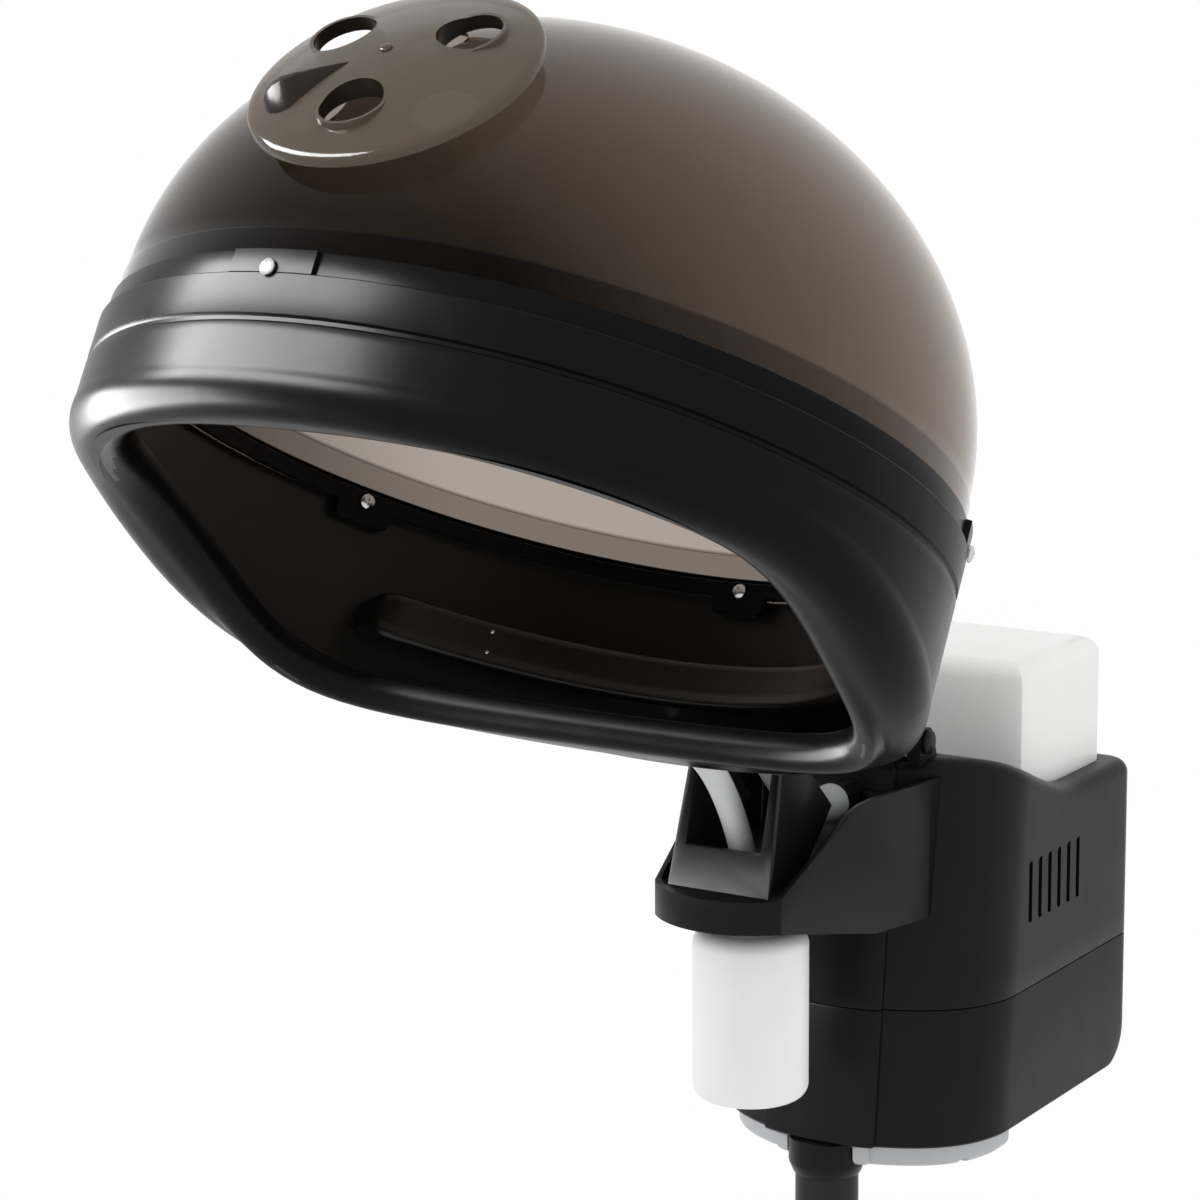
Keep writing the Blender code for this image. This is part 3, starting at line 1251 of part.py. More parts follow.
def build_manifold(hood, paints):
    back = BOWL_R - BOWL_WALL - GAP - FLAT_SAG
    top, low, face = MANIFOLD_TOP, MANIFOLD_LOW, MANIFOLD_FACE_R
    shape = [(back, low), (back, top), (face + 9 * MM, top), (face + 4 * MM, top - 2.5 * MM)]
    shape += [(face + 2 * MM, low + 7 * MM), (face, low + 5 * MM)]
    shape += [(face - 0.6 * MM, low + 2.4 * MM), (face + 1.5 * MM, low)]
    hollow = [(back - 3 * MM, low + 3 * MM), (back - 3 * MM, top - 3 * MM), (face + 16 * MM, top - 3 * MM)]
    hollow += [
        (face + 16 * MM, top + 2 * MM),
        (face + 12 * MM, top + 2 * MM),
        (face + 12 * MM, top - 3 * MM),
    ]
    hollow += [(face + 7 * MM, top - 4 * MM), (face + 6 * MM, low + 3 * MM)]
    count = 20

    def sweep_round(points, half_angle, taper):
        rows = []
        for k in range(count + 1):
            turn = pi + radians(half_angle) * (2 * k / count - 1)
            blend = 0.55 if taper and k in (0, count) else 1.0
            middle = (top + low) / 2
            rows.append(
                [in_hood(back + (r - back) * blend, turn, middle + (h - middle) * blend) for r, h in points]
            )
        return skin(bmesh.new(), rows)

    box = sweep_round(shape, MANIFOLD_HALF_ANGLE, True)
    manifold = make_object("steam_manifold", box, paints["gloss_black"], hood)
    inside = sweep_round(hollow, MANIFOLD_HALF_ANGLE - 6, False)
    cut(manifold, make_object("manifold_hollow", inside, None, hood))
    holes = bmesh.new()
    add_rod(
        holes,
        STEAM_INLET_R + HOLE_GAP,
        (STEAM_X, back - 12 * MM, STEAM_H),
        (STEAM_X, back + 6 * MM, STEAM_H),
    )
    for turn in MANIFOLD_SCREW_TURNS:
        inner = in_hood(back - 6 * MM, radians(turn), MANIFOLD_SCREW_H)
        outer = in_hood(back + 6 * MM, radians(turn), MANIFOLD_SCREW_H)
        add_rod(holes, SCREW_D / 2 + HOLE_GAP, inner, outer, 12)
    cut(manifold, make_object("manifold_holes", holes, None, hood))
    for name, turn in zip(("manifold_screw_left", "manifold_screw_right"), MANIFOLD_SCREW_TURNS):
        place = in_hood(BOWL_R + GAP, radians(turn), MANIFOLD_SCREW_H)
        screw = screw_mesh(SCREW_D, SCREW_HEAD_D, SCREW_HEAD_H, 11 * MM)
        make_object(name, screw, paints["steel"], hood, place, (pi / 2, 0, radians(turn)))
    inlet = turned(
        [
            (0, -16 * MM),
            (STEAM_INLET_R, -16 * MM),
            (STEAM_INLET_R, 0),
            (9 * MM, 0),
            (9 * MM, 3 * MM),
            (STEAM_PIPE_D / 2, 4 * MM),
            (STEAM_PIPE_D / 2, STEAM_INLET_LENGTH),
            (0, STEAM_INLET_LENGTH),
        ],
        24,
    )
    wall_y = BOWL_R + GAP
    make_object(
        "steam_inlet",
        inlet,
        paints["gloss_black"],
        hood,
        (STEAM_X, wall_y, STEAM_H),
        (-pi / 2, 0, 0),
    )
    hose = DRAIN_HOSE_D / 2
    nipple = turned(
        [
            (0, -7 * MM),
            (DRAIN_TAIL_R, -7 * MM),
            (DRAIN_TAIL_R, 0),
            (8.5 * MM, 0),
            (8.5 * MM, 3 * MM),
            (7.2 * MM, 4 * MM),
            (hose + 0.6 * MM, NIPPLE_LENGTH),
            (0, NIPPLE_LENGTH),
        ],
        24,
    )
    make_object(
        "drain_nipple",
        nipple,
        paints["clear_blue"],
        hood,
        (DRAIN_X, wall_y, DRAIN_H),
        (-pi / 2, 0, 0),
    )


def dome_point(turn, inset=0.0):
    r = BOWL_R - BOWL_WALL - GAP - DOME_STEP - inset
    return (r * sin(turn), BREAK_H + (DOME_H - inset) * cos(turn))


def build_dome(hood, paints, screw_holes, vent_holes):
    skirt = BOWL_R - BOWL_WALL - GAP
    inner = skirt - DOME_WALL
    count = 9
    profile = [(inner, SKIRT_LOW), (skirt, SKIRT_LOW), (skirt, BREAK_H - DOME_STEP)]
    profile += [dome_point(pi / 2 * (1 - k / count)) for k in range(count)]
    profile += [(0, BREAK_H + DOME_H), (0, BREAK_H + DOME_H - DOME_WALL)]
    profile += [dome_point(pi / 2 * k / count, DOME_WALL - DOME_STEP) for k in range(1, count + 1)]
    bm = bmesh.new()
    verts = [bm.verts.new((r, 0, z)) for r, z in profile]
    edges = [bm.edges.new(pair) for pair in zip(verts, verts[1:])]
    edges = [edge for edge in edges if max(vert.co.x for vert in edge.verts) > 0]
    edges.append(bm.edges.new((verts[-1], verts[0])))
    for edge in [edge for edge in bm.edges if max(vert.co.x for vert in edge.verts) <= 0]:
        bm.edges.remove(edge)
    bmesh.ops.spin(
        bm, geom=verts + edges, axis=(
            0,
            0,
            1,
        ), cent=(0, 0, 0), angle=2 * pi, steps=ROUND_STEPS, use_merge=True
    )
    dome = make_object("dome", bm, paints["smoke"], hood)
    cut(dome, screw_holes)
    cut(dome, vent_holes)
    ring_out = inner - GAP
    ring_in = ring_out - RING_WALL
    band = collar_mesh(2 * ring_in, 2 * ring_out, RING_LEDGE, RING_TOP, ROUND_STEPS)
    ring = make_object("dome_ring", band, paints["gloss_black"], hood)
    tabs = bmesh.new()
    for turn in TAB_TURNS:
        tab_in, tab_out = ring_in + 0.3 * MM, ring_out - FLAT_SAG
        ring_block(tabs, tab_in, tab_out, turn, RING_TAB_WIDTH, RING_TAB_LOW, RING_LEDGE + 2 * MM)
    add(ring, make_object("ring_tabs", tabs, None, hood))
    cut(ring, screw_holes)
    nut_face = sqrt(ring_in**2 - (SCREW_HEAD_D / 2) ** 2) - FLAT_SAG - GAP
    for k, turn in enumerate(TAB_TURNS):
        angle = radians(turn)
        length = BOWL_R + GAP - nut_face + 3.4 * MM
        screw = screw_mesh(SCREW_D, SCREW_HEAD_D, SCREW_HEAD_H, length)
        place = in_hood(BOWL_R + GAP, angle, SCREW_H)
        make_object(f"dome_screw_{k + 1}", screw, paints["steel"], hood, place, (pi / 2, 0, angle))
        nut = nut_mesh(SCREW_D + 2 * HOLE_GAP, SCREW_HEAD_D - 0.6 * MM, -3 * MM, 0)
        place = in_hood(nut_face, angle, SCREW_H)
        make_object(f"dome_nut_{k + 1}", nut, paints["steel"], hood, place, (pi / 2, 0, angle))


def dome_screw_holes(hood):
    holes = bmesh.new()
    for turn in TAB_TURNS:
        inner = in_hood(BOWL_R - 16 * MM, radians(turn), SCREW_H)
        outer = in_hood(BOWL_R + 6 * MM, radians(turn), SCREW_H)
        add_rod(holes, SCREW_D / 2 + HOLE_GAP, inner, outer, 12)
    return make_object("dome_screw_holes", holes, None, hood)


def three_holes(first, low, high, segments=20):
    holes = bmesh.new()
    for k in range(3):
        turn = radians(first + 120 * k)
        x, y = DISC_HOLE_RADIUS * cos(turn), DISC_HOLE_RADIUS * sin(turn)
        add_rod(holes, DISC_HOLE_D / 2, (x, y, low), (x, y, high), segments)
    return holes


# Height of the disc's shell above the vent axis's foot on the dome
def disc_height(r):
    return DISC_LIFT - DISC_CURVE + sqrt(DISC_CURVE**2 - r**2)


def build_vent(vent, paints):
    bore = RIVET_D / 2 + HOLE_GAP
    radii = [DISC_R * k / 5 for k in (1.0, 2.0, 3.0, 4.0)] + [DISC_R - 1.2 * MM]
    profile = [(bore, GAP), (HUB_R, GAP), (HUB_R, disc_height(HUB_R))]
    profile += [(r, disc_height(r)) for r in radii]
    edge = disc_height(DISC_R)
    profile += [
        (DISC_R - 1.2 * MM, edge - DISC_SKIRT),
        (DISC_R, edge - DISC_SKIRT),
        (DISC_R, edge + DISC_T - 0.8 * MM),
    ]
    profile += [(r, disc_height(r) + DISC_T) for r in reversed(radii)]
    profile += [(bore, disc_height(bore) + DISC_T)]
    clean = [profile[0]]
    for point in profile[1:]:
        if abs(point[0] - clean[-1][0]) + abs(point[1] - clean[-1][1]) > 0.05 * MM:
            clean.append(point)
    disc = make_object("vent_disc", turned(clean, 36), paints["smoke"], vent)
    turn = radians(POINTER_TURN)
    along = Vector((cos(turn), sin(turn), 0))
    across = Vector((-sin(turn), cos(turn), 0))
    rows = []
    for reach, half, lift in (
        (14 * MM, 1 * MM, 0.2 * MM),
        (36 * MM, 8 * MM, 4 * MM),
        (59 * MM, 14 * MM, 8 * MM),
    ):
        base = disc_height(min(sqrt(reach**2 + half**2), DISC_R)) + 0.4 * MM
        top = disc_height(reach) + DISC_T + lift
        spot = along * reach
        rows.append(
            [
                spot - across * half + Vector((0, 0, base)),
                spot + across * half + Vector((0, 0, base)),
                spot + across * half * 0.12 + Vector((0, 0, top)),
                spot - across * half * 0.12 + Vector((0, 0, top)),
            ]
        )
    add(disc, make_object("vent_pointer", skin(bmesh.new(), rows), None, vent))
    cut(disc, make_object("disc_holes", three_holes(DISC_FIRST_HOLE, -20 * MM, 20 * MM), None, vent))


def build_rivet(axis, paints):
    r = RIVET_D / 2
    top = disc_height(0) + DISC_T + GAP
    low = -DOME_WALL - 0.6 * MM
    rivet = turned(
        [
            (0, low - 2 * MM),
            (RIVET_FOOT_R, low - 2 * MM),
            (RIVET_FOOT_R, low),
            (r, low),
            (r, top),
            (RIVET_HEAD_R, top),
            (0.75 * RIVET_HEAD_R, top + 0.9 * MM),
            (0, top + 1.2 * MM),
        ],
        24,
    )
    make_object("vent_rivet", rivet, paints["dark_grey"], axis)


def build_arm(head, hood, paints):
    flange_low, flange_high = PAD_FACE + GAP, PAD_FACE + GAP + 5 * MM
    flange = add_box(bmesh.new(), (-PAD_HALF, flange_low, PAD_LOW), (PAD_HALF, flange_high, PAD_HIGH))
    arm = make_object("hood_arm", flange, paints["gloss_black"], hood)
    y, z = ARM_REACH, -RING_RISE
    start = flange_high - 2 * MM
    side = [(start, PAD_LOW), (start, PAD_HIGH), (start + 30 * MM, PAD_HIGH), (y - 12 * MM, z + LUG_R)]
    side += arc((y, z), LUG_R, 90, -90, 8)
    side += [(y - 40 * MM, z - LUG_R), (y - 90 * MM, z - LUG_R - 6 * MM), (start + 24 * MM, PAD_LOW)]
    for turn in (-1, 1):
        inner, outer = turn * (ARM_HALF - ARM_PLATE), turn * ARM_HALF
        plate = add_side_plate(bmesh.new(), side, inner, outer)
        add(arm, make_object("arm_side", plate, None, hood))
    end = ARM_HALF - 1 * MM
    add(
        arm,
        make_object(
            "arm_barrel",
            add_rod(bmesh.new(), LUG_R - 0.2 * MM, (-end, y, z), (end, y, z), 28),
            None,
            hood,
        ),
    )
    holes = add_rod(bmesh.new(), PIN_D / 2 + HOLE_GAP, (-EAR_OUTER, y, z), (EAR_OUTER, y, z))
    for sx, sz in ARM_SCREWS:
        add_rod(
            holes,
            SCREW_D / 2 + HOLE_GAP,
            (sx, PAD_FACE - 2 * MM, sz),
            (sx, flange_high + 2 * MM, sz),
            12,
        )
    cut(arm, make_object("arm_holes", holes, None, hood))
    for k, (sx, sz) in enumerate(ARM_SCREWS):
        screw = screw_mesh(SCREW_D, SCREW_HEAD_D, SCREW_HEAD_H, 11 * MM)
        make_object(
            f"arm_screw_{k + 1}",
            screw,
            paints["steel"],
            hood,
            (sx, flange_high + GAP, sz),
            (-pi / 2, 0, 0),
        )
    pivot = (0, PIVOT_Y, PIVOT_Z)
    side_turn = (0, pi / 2, 0)
    for name, sign in (("friction_washer_left", -1), ("friction_washer_right", 1)):
        low = ARM_HALF + GAP
        washer = collar_mesh(PIN_D + 2 * HOLE_GAP, 2 * LUG_R - 1 * MM, low, low + WASHER_T, 24)
        make_object(name, washer, paints["rubber"], head, pivot, (0, sign * pi / 2, 0))
    tail = EAR_OUTER + GAP
    pin = turned(
        [
            (0, -tail - 6 * MM),
            (PIN_D / 2, -tail - 6 * MM),
            (PIN_D / 2, tail),
            (PIN_D / 2 + 2 * MM, tail),
            (PIN_D / 2 + 2 * MM, tail + 1.6 * MM),
            (PIN_D / 2, tail + 2.4 * MM),
            (0, tail + 2.6 * MM),
        ],
        24,
    )
    make_object("hinge_pin", pin, paints["steel"], head, pivot, side_turn)
    nut = nut_mesh(PIN_D + 2 * HOLE_GAP, PIN_D + 5 * MM, -tail - 5 * MM, -tail)
    make_object("hinge_nut", nut, paints["steel"], head, pivot, side_turn)


def hood_to_head(point):
    tilt = radians(-HOOD_TILT)
    moved = Matrix.Rotation(tilt, 3, "X") @ (Vector(point) + Vector((0, -ARM_REACH, RING_RISE)))
    return moved + Vector((0, PIVOT_Y, PIVOT_Z))


def build_hoses(head, paints):
    outward = Matrix.Rotation(radians(-HOOD_TILT), 3, "X") @ Vector((0, 1, 0))
    steam_start = hood_to_head((STEAM_X, BOWL_R + GAP + STEAM_INLET_LENGTH + GAP, STEAM_H))
    steam_end = Vector((STEAM_X, OUTLET_END_Y - GAP, OUTLET_Z))
    run = sweep(steam_start, outward * 38 * MM, steam_end, Vector((0, 34 * MM, 0)), 10)
    make_hose("steam_hose", run, STEAM_HOSE_D, paints["pale_grey"], head)
    drain_start = hood_to_head((DRAIN_X, BOWL_R + GAP + NIPPLE_LENGTH + GAP, DRAIN_H))
    drain_end = Vector((0, BOTTLE_Y, BOTTLE_MOUTH - 8 * MM))
    run = sweep(drain_start, outward * 26 * MM, drain_end, Vector((0, 4 * MM, -30 * MM)), 12)
    make_hose("drain_hose", run, DRAIN_HOSE_D, paints["white"], head)


def main():
    clear_scene()
    paints = make_materials()
    build_pole(paints)
    head = make_empty("head_swivel", (0, 0, 0))
    bolt_holes = build_socket(head, paints)
    build_lower_housing(head, paints, bolt_holes)
    build_pan(head, paints)
    screw_holes = bracket_screw_holes(head)
    build_upper_housing(head, paints, screw_holes)
    build_bracket(head, paints, screw_holes)
    build_bottle(head, paints)
    lid_top = build_boiler(head, paints)
    build_tank(head, paints, lid_top)
    build_controls(head, paints)
    tilt = make_empty("hood_tilt", (0, PIVOT_Y, PIVOT_Z), head, (radians(-HOOD_TILT), 0, 0))
    hood = make_empty("hood_ring", (0, -ARM_REACH, RING_RISE), tilt)
    dome_holes = dome_screw_holes(hood)
    reach, rise = dome_point(radians(VENT_TURN))
    lean = atan2(sin(radians(VENT_TURN)) / dome_point(pi / 2)[0], cos(radians(VENT_TURN)) / DOME_H)
    vent = make_empty("vent_turn", (0, -reach, rise), hood, (lean, 0, 0))
    vent_holes = three_holes(DOME_FIRST_HOLE, -20 * MM, 12 * MM)
    add_rod(vent_holes, RIVET_D / 2 + HOLE_GAP, (0, 0, -20 * MM), (0, 0, 12 * MM))
    vent_tool = make_object("dome_vent_holes", vent_holes, None, vent)
    build_bowl(hood, paints, dome_holes)
    build_dome(hood, paints, dome_holes, vent_tool)
    build_manifold(hood, paints)
    build_vent(vent, paints)
    build_rivet(vent, paints)
    build_arm(head, hood, paints)
    build_hoses(head, paints)


main()
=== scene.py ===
import math

import bmesh
import bpy
from mathutils import Matrix, Vector


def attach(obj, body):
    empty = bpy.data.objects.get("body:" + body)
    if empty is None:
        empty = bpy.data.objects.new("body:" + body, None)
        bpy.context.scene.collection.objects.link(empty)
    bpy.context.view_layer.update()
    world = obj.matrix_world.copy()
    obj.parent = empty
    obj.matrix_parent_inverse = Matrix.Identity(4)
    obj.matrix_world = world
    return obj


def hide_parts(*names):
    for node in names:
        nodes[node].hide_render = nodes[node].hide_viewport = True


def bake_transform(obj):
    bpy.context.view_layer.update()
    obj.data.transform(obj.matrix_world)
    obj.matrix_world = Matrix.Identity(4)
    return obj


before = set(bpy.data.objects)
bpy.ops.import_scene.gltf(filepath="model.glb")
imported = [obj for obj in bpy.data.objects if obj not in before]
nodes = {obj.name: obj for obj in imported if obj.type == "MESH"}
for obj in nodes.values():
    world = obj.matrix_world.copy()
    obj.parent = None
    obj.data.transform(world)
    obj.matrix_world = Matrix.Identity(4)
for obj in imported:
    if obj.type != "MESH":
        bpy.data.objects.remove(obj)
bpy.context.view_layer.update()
mm = 0.001  # the sizes of pieces are in millimetres, and meshes are in metres
print("frame loaded:", len(nodes), "nodes")


# some values of a piece's dictionary, in the order asked for
def take(sizes, *keys):
    return [sizes[key] for key in keys]


# wraps a shader socket, so that node maths reads as plain sums
class Wire:
    def __init__(self, tree, socket):
        self.tree = tree
        self.socket = socket

    def work(self, operation, first, second):
        node = self.tree.nodes.new("ShaderNodeMath")
        node.operation = operation
        for slot, value in zip(node.inputs, (first, second)):
            if isinstance(value, Wire):
                self.tree.links.new(value.socket, slot)
            else:
                slot.default_value = value
        return Wire(self.tree, node.outputs[0])

    def __add__(self, other):
        return self.work("ADD", self, other)

    def __radd__(self, other):
        return self.work("ADD", other, self)

    def __mul__(self, other):
        return self.work("MULTIPLY", self, other)

    def __rmul__(self, other):
        return self.work("MULTIPLY", other, self)

    def most(self, other):
        return self.work("MAXIMUM", self, other)


# a material in the making: one shader, and the nodes that feed it
class Finish:
    def __init__(self, name, **fixed):
        self.made = bpy.data.materials.new(name)
        self.made.use_nodes = True
        self.tree = self.made.node_tree
        self.shader = self.tree.nodes["Principled BSDF"]
        for label, value in fixed.items():
            self.shader.inputs[label].default_value = value
        self.place = self.node("ShaderNodeTexCoord", out="Object")

    # any node: its type, its settings, then the values or links of its sockets
    def node(self, kind, settings=None, values=None, out=0):
        made = self.tree.nodes.new(kind)
        for label, value in (settings or {}).items():
            setattr(made, label, value)
        for label, value in (values or {}).items():
            if isinstance(value, Wire):
                self.tree.links.new(value.socket, made.inputs[label])
            else:
                made.inputs[label].default_value = value
        return Wire(self.tree, made.outputs[out])

    def noise(self, scale, detail=2.0, roughness=0.5, stretch=(1.0, 1.0, 1.0)):
        spot = self.node("ShaderNodeMapping", None, {"Vector": self.place, "Scale": stretch})
        values = {"Vector": spot, "Scale": scale, "Detail": detail, "Roughness": roughness}
        return self.node("ShaderNodeTexNoise", None, values)

    def between(self, factor, first, second):
        return self.node("ShaderNodeMix", {"data_type": "RGBA"}, {0: factor, 6: first, 7: second}, 2)

    def remap(self, value, low, high, toLow, toHigh):
        values = {"Value": value, "From Min": low, "From Max": high, "To Min": toLow, "To Max": toHigh}
        return self.node("ShaderNodeMapRange", None, values)

    def feed(self, label, wire):
        self.tree.links.new(wire.socket, self.shader.inputs[label])

    def bump(self, height, strength, distance):
        values = {"Strength": strength, "Distance": distance, "Height": height}
        self.feed("Normal", self.node("ShaderNodeBump", None, values))


print("camera and light")
cameraPlace = {
    "location": (0.8919, -1.6389, 0.7208),
    "swing": 32.0,
    "pitch": 11.45,
    "roll": 0.37,
    "lens": 117.0,
    "sensor": 36.0,
    "nearest": 0.05,
}


def setCamera(place):
    swing, pitch, roll = (math.radians(place[key]) for key in ("swing", "pitch", "roll"))
    flat = math.cos(pitch)
    ahead = Vector((-math.sin(swing) * flat, math.cos(swing) * flat, -math.sin(pitch)))
    level = Vector((math.cos(swing), math.sin(swing), 0.0))
    down = ahead.cross(level)
    right = math.cos(roll) * level + math.sin(roll) * down
    under = -math.sin(roll) * level + math.cos(roll) * down
    data = bpy.data.cameras.new("photoCamera")
    data.lens = place["lens"]
    data.sensor_width = place["sensor"]
    data.clip_start = place["nearest"]
    camera = bpy.data.objects.new("photoCamera", data)
    bpy.context.scene.collection.objects.link(camera)
    turn = Matrix((right, -under, -ahead)).transposed()
    camera.matrix_world = Matrix.Translation(place["location"]) @ turn.to_4x4()
    bpy.context.scene.camera = camera


setCamera(cameraPlace)
bpy.context.scene.view_settings.view_transform = "Standard"

# each box: its name, place, aim, width, height, lean, power, and whether it gives light or is only mirrored
studio = {
    "floorDrop": -1.10,
    "floorSize": 60.0,
    "floorColour": (0.86, 0.86, 0.86, 1.0),
    "roomColour": (1.0, 0.995, 0.985, 1.0),
    "roomLight": 0.80,
    "boxes": [
        ("keyBox", (-1.46, -1.51, 1.60), (0.0, -0.28, 0.50), 3.0, 1.2, 0.0, 17.0, True),
        ("sheenBox", (-1.41, -1.47, 1.70), (0.0, -0.28, 0.50), 2.4, 0.9, 18.0, 330.0, False),
        ("lowBox", (-1.49, -0.75, 0.02), (0.0, -0.32, 0.45), 1.5, 0.9, 0.0, 125.0, False),
        ("sideBox", (2.0, 0.65, 0.6), (0.0, -0.1, 0.40), 0.8, 1.8, 0.0, 5.0, True),
    ],
}


# white where it is looked at, mirrored or seen through, plain where it only gives light
def whiteToSight(tree, plain, white, end):
    path = tree.nodes.new("ShaderNodeLightPath")
    rays = ("Is Camera Ray", "Is Glossy Ray", "Is Transmission Ray")
    camera, mirror, through = (Wire(tree, path.outputs[label]) for label in rays)
    mixer = tree.nodes.new("ShaderNodeMixShader")
    tree.links.new(camera.most(mirror).most(through).socket, mixer.inputs[0])
    tree.links.new(plain, mixer.inputs[1])
    tree.links.new(white, mixer.inputs[2])
    tree.links.new(mixer.outputs[0], end)


def setRoom():
    world = bpy.data.worlds.new("studioRoom")
    bpy.context.scene.world = world
    world.use_nodes = True
    tree = world.node_tree
    tree.nodes.clear()
    soft = tree.nodes.new("ShaderNodeBackground")
    soft.inputs["Color"].default_value = studio["roomColour"]
    soft.inputs["Strength"].default_value = studio["roomLight"]
    white = tree.nodes.new("ShaderNodeBackground")
    white.inputs["Color"].default_value = (1.0, 1.0, 1.0, 1.0)
    white.inputs["Strength"].default_value = 1.0
    end = tree.nodes.new("ShaderNodeOutputWorld")
    whiteToSight(tree, soft.outputs[0], white.outputs[0], end.inputs[0])


def setFloor():
    bpy.ops.object.select_all(action="DESELECT")
    bpy.ops.mesh.primitive_plane_add(size=studio["floorSize"], location=(0.0, 0.0, studio["floorDrop"]))
    floor = bpy.context.object
    floor.name = "studioFloor"
    paint = Finish("floorPaper", Roughness=0.9)
    paint.shader.inputs["Base Color"].default_value = studio["floorColour"]
    tree = paint.tree
    white = tree.nodes.new("ShaderNodeEmission")
    white.inputs["Strength"].default_value = 1.0
    whiteToSight(tree, paint.shader.outputs[0], white.outputs[0], tree.nodes["Material Output"].inputs[0])
    floor.data.materials.append(paint.made)


def setBoxes():
    for name, spot, aim, width, height, lean, power, lights in studio["boxes"]:
        data = bpy.data.lights.new(name, "AREA")
        data.shape = "RECTANGLE"
        data.size = width
        data.size_y = height
        data.energy = power
        lamp = bpy.data.objects.new(name, data)
        bpy.context.scene.collection.objects.link(lamp)
        lamp.visible_diffuse = lights
        lamp.visible_glossy = not lights
        lamp.visible_transmission = False
        lamp.location = spot
        face = (Vector(aim) - Vector(spot)).to_track_quat("-Z", "Y").to_matrix()
        lamp.rotation_euler = (face @ Matrix.Rotation(math.radians(lean), 3, "Z")).to_euler()


setRoom()
setFloor()
setBoxes()
spared = bpy.data.collections.new("spared")
lipLit = bpy.data.collections.new("lipLit")  # the low box is only for the bowl's lip
bpy.data.objects["sheenBox"].light_linking.receiver_collection = spared
bpy.data.objects["lowBox"].light_linking.receiver_collection = lipLit

print("hood's place")
hinge = {"y": 21.0, "z": 272.5, "tilt": -29.46, "reach": 339.1, "rise": 26.4}


def shift(x, y, z):
    return Matrix.Translation((x * mm, y * mm, z * mm))


def turned(angle, axis):
    return Matrix.Rotation(math.radians(angle), 4, axis)


hoodPlace = shift(0, hinge["y"], hinge["z"]) @ turned(hinge["tilt"], "X")
hoodPlace = hoodPlace @ shift(0, -hinge["reach"], hinge["rise"])
hoodUp = hoodPlace.col[2]

print("finishes")
mould = {
    "cloud": 28.0,
    "paler": 1.12,
    "lift": 0.002,
    "patches": 60.0,
    "grain": 900.0,
    "grainPull": 0.25,
    "grainDepth": 0.04 * mm,
}
brush = {
    "lines": 260.0,
    "darker": 0.82,
    "smoother": 0.07,
    "rougher": 0.09,
    "pull": 0.15,
    "depth": 0.04 * mm,
}
noiseLow, noiseHigh = 0.3, 0.7  # most of a noise lies between these


def mouldedPlastic(name, colour, rough, spread, fixed=None):
    paint = Finish(name, **(fixed or {}))
    light = tuple(min(1.0, part * mould["paler"] + mould["lift"]) for part in colour)
    paint.feed("Base Color", paint.between(paint.noise(mould["cloud"], 3.0), (*colour, 1.0), (*light, 1.0)))
    patches = paint.noise(mould["patches"], 4.0)
    paint.feed("Roughness", paint.remap(patches, noiseLow, noiseHigh, rough - spread, rough + spread))
    paint.bump(paint.noise(mould["grain"]), mould["grainPull"], mould["grainDepth"])
    return paint.made


def brushedMetal(name, colour, rough, stretch):
    paint = Finish(name, Metallic=1.0)
    lines = paint.noise(brush["lines"], 3.0, 0.6, stretch)
    dark = tuple(part * brush["darker"] for part in colour)
    paint.feed("Base Color", paint.between(lines, (*dark, 1.0), (*colour, 1.0)))
    smoothest, roughest = rough - brush["smoother"], rough + brush["rougher"]
    paint.feed("Roughness", paint.remap(lines, noiseLow, noiseHigh, smoothest, roughest))
    paint.bump(lines, brush["pull"], brush["depth"])
    return paint.made


# tinted clear plastic, darker on the upright skirt, with painted shade that is deeper towards the front and
# deepest low on the front
def smokedPlasticAndShade(name, tint):
    paint = Finish(name, IOR=tint["bends"], **{"Transmission Weight": 1.0, "Specular Tint": tint["shine"]})
    spot = {"Vector": paint.place}
    x, y, z = (paint.node("ShaderNodeSeparateXYZ", None, spot, axis) for axis in range(3))
    ahead = x * tint["ahead"][0] + y * tint["ahead"][1]
    up = y * hoodUp.y + z * hoodUp.z
    # painted shade: darker towards the front, and darker still low on the front
    front = paint.remap(ahead, tint["back"], tint["front"], 0.0, 1.0)
    skirt = paint.remap(up, tint["low"], tint["high"], 1.0, 0.0)
    near = paint.remap(up, tint["high"], tint["lowShadeTop"], 1.0, 0.0)
    shell = paint.between(front, tint["clear"], paint.between(near, tint["deep"], tint["lowFrontShade"]))
    hem = paint.between(front, tint["hem"], tint["hemFrontShade"])
    paint.feed("Base Color", paint.between(skirt, shell, hem))
    patches = paint.noise(tint["patches"], 4.0)
    paint.feed("Roughness", paint.remap(patches, noiseLow, noiseHigh, *tint["rough"]))
    return paint.made


# lengths here are in metres, along the way ahead and up the hood's axis
domeTintAndShade = {
    "bends": 1.30,
    "shine": (0.06, 0.06, 0.06, 1.0),
    "clear": (0.405, 0.352, 0.31, 1.0),
    # painted shade on the front of the dome, deeper low down
    "deep": (0.135, 0.108, 0.087, 1.0),
    "lowFrontShade": (0.040, 0.030, 0.022, 1.0),
    "hem": (0.20, 0.165, 0.14, 1.0),
    # painted shade on the front of the skirt
    "hemFrontShade": (0.012, 0.009, 0.008, 1.0),
    "ahead": (-0.3, -0.95),
    # the painted shade grows from the back to the front along the way ahead, and its low part fades out
    # going up
    "back": 0.17,
    "front": 0.36,
    "low": 0.2850,
    "high": 0.2858,
    "lowShadeTop": 0.355,
    "patches": 40.0,
    "rough": (0.02, 0.05),
}
hazy = {"Alpha": 0.80, "Specular IOR Level": 0.2}
glossy = {"Specular IOR Level": 0.28}
dull = {"Specular IOR Level": 0.12}
sleek = {"Specular IOR Level": 0.075}
faint = {"Specular IOR Level": 0.06}
milky = {"Subsurface Weight": 0.5, "Subsurface Radius": (0.03, 0.03, 0.03), "Subsurface Scale": 1.0}
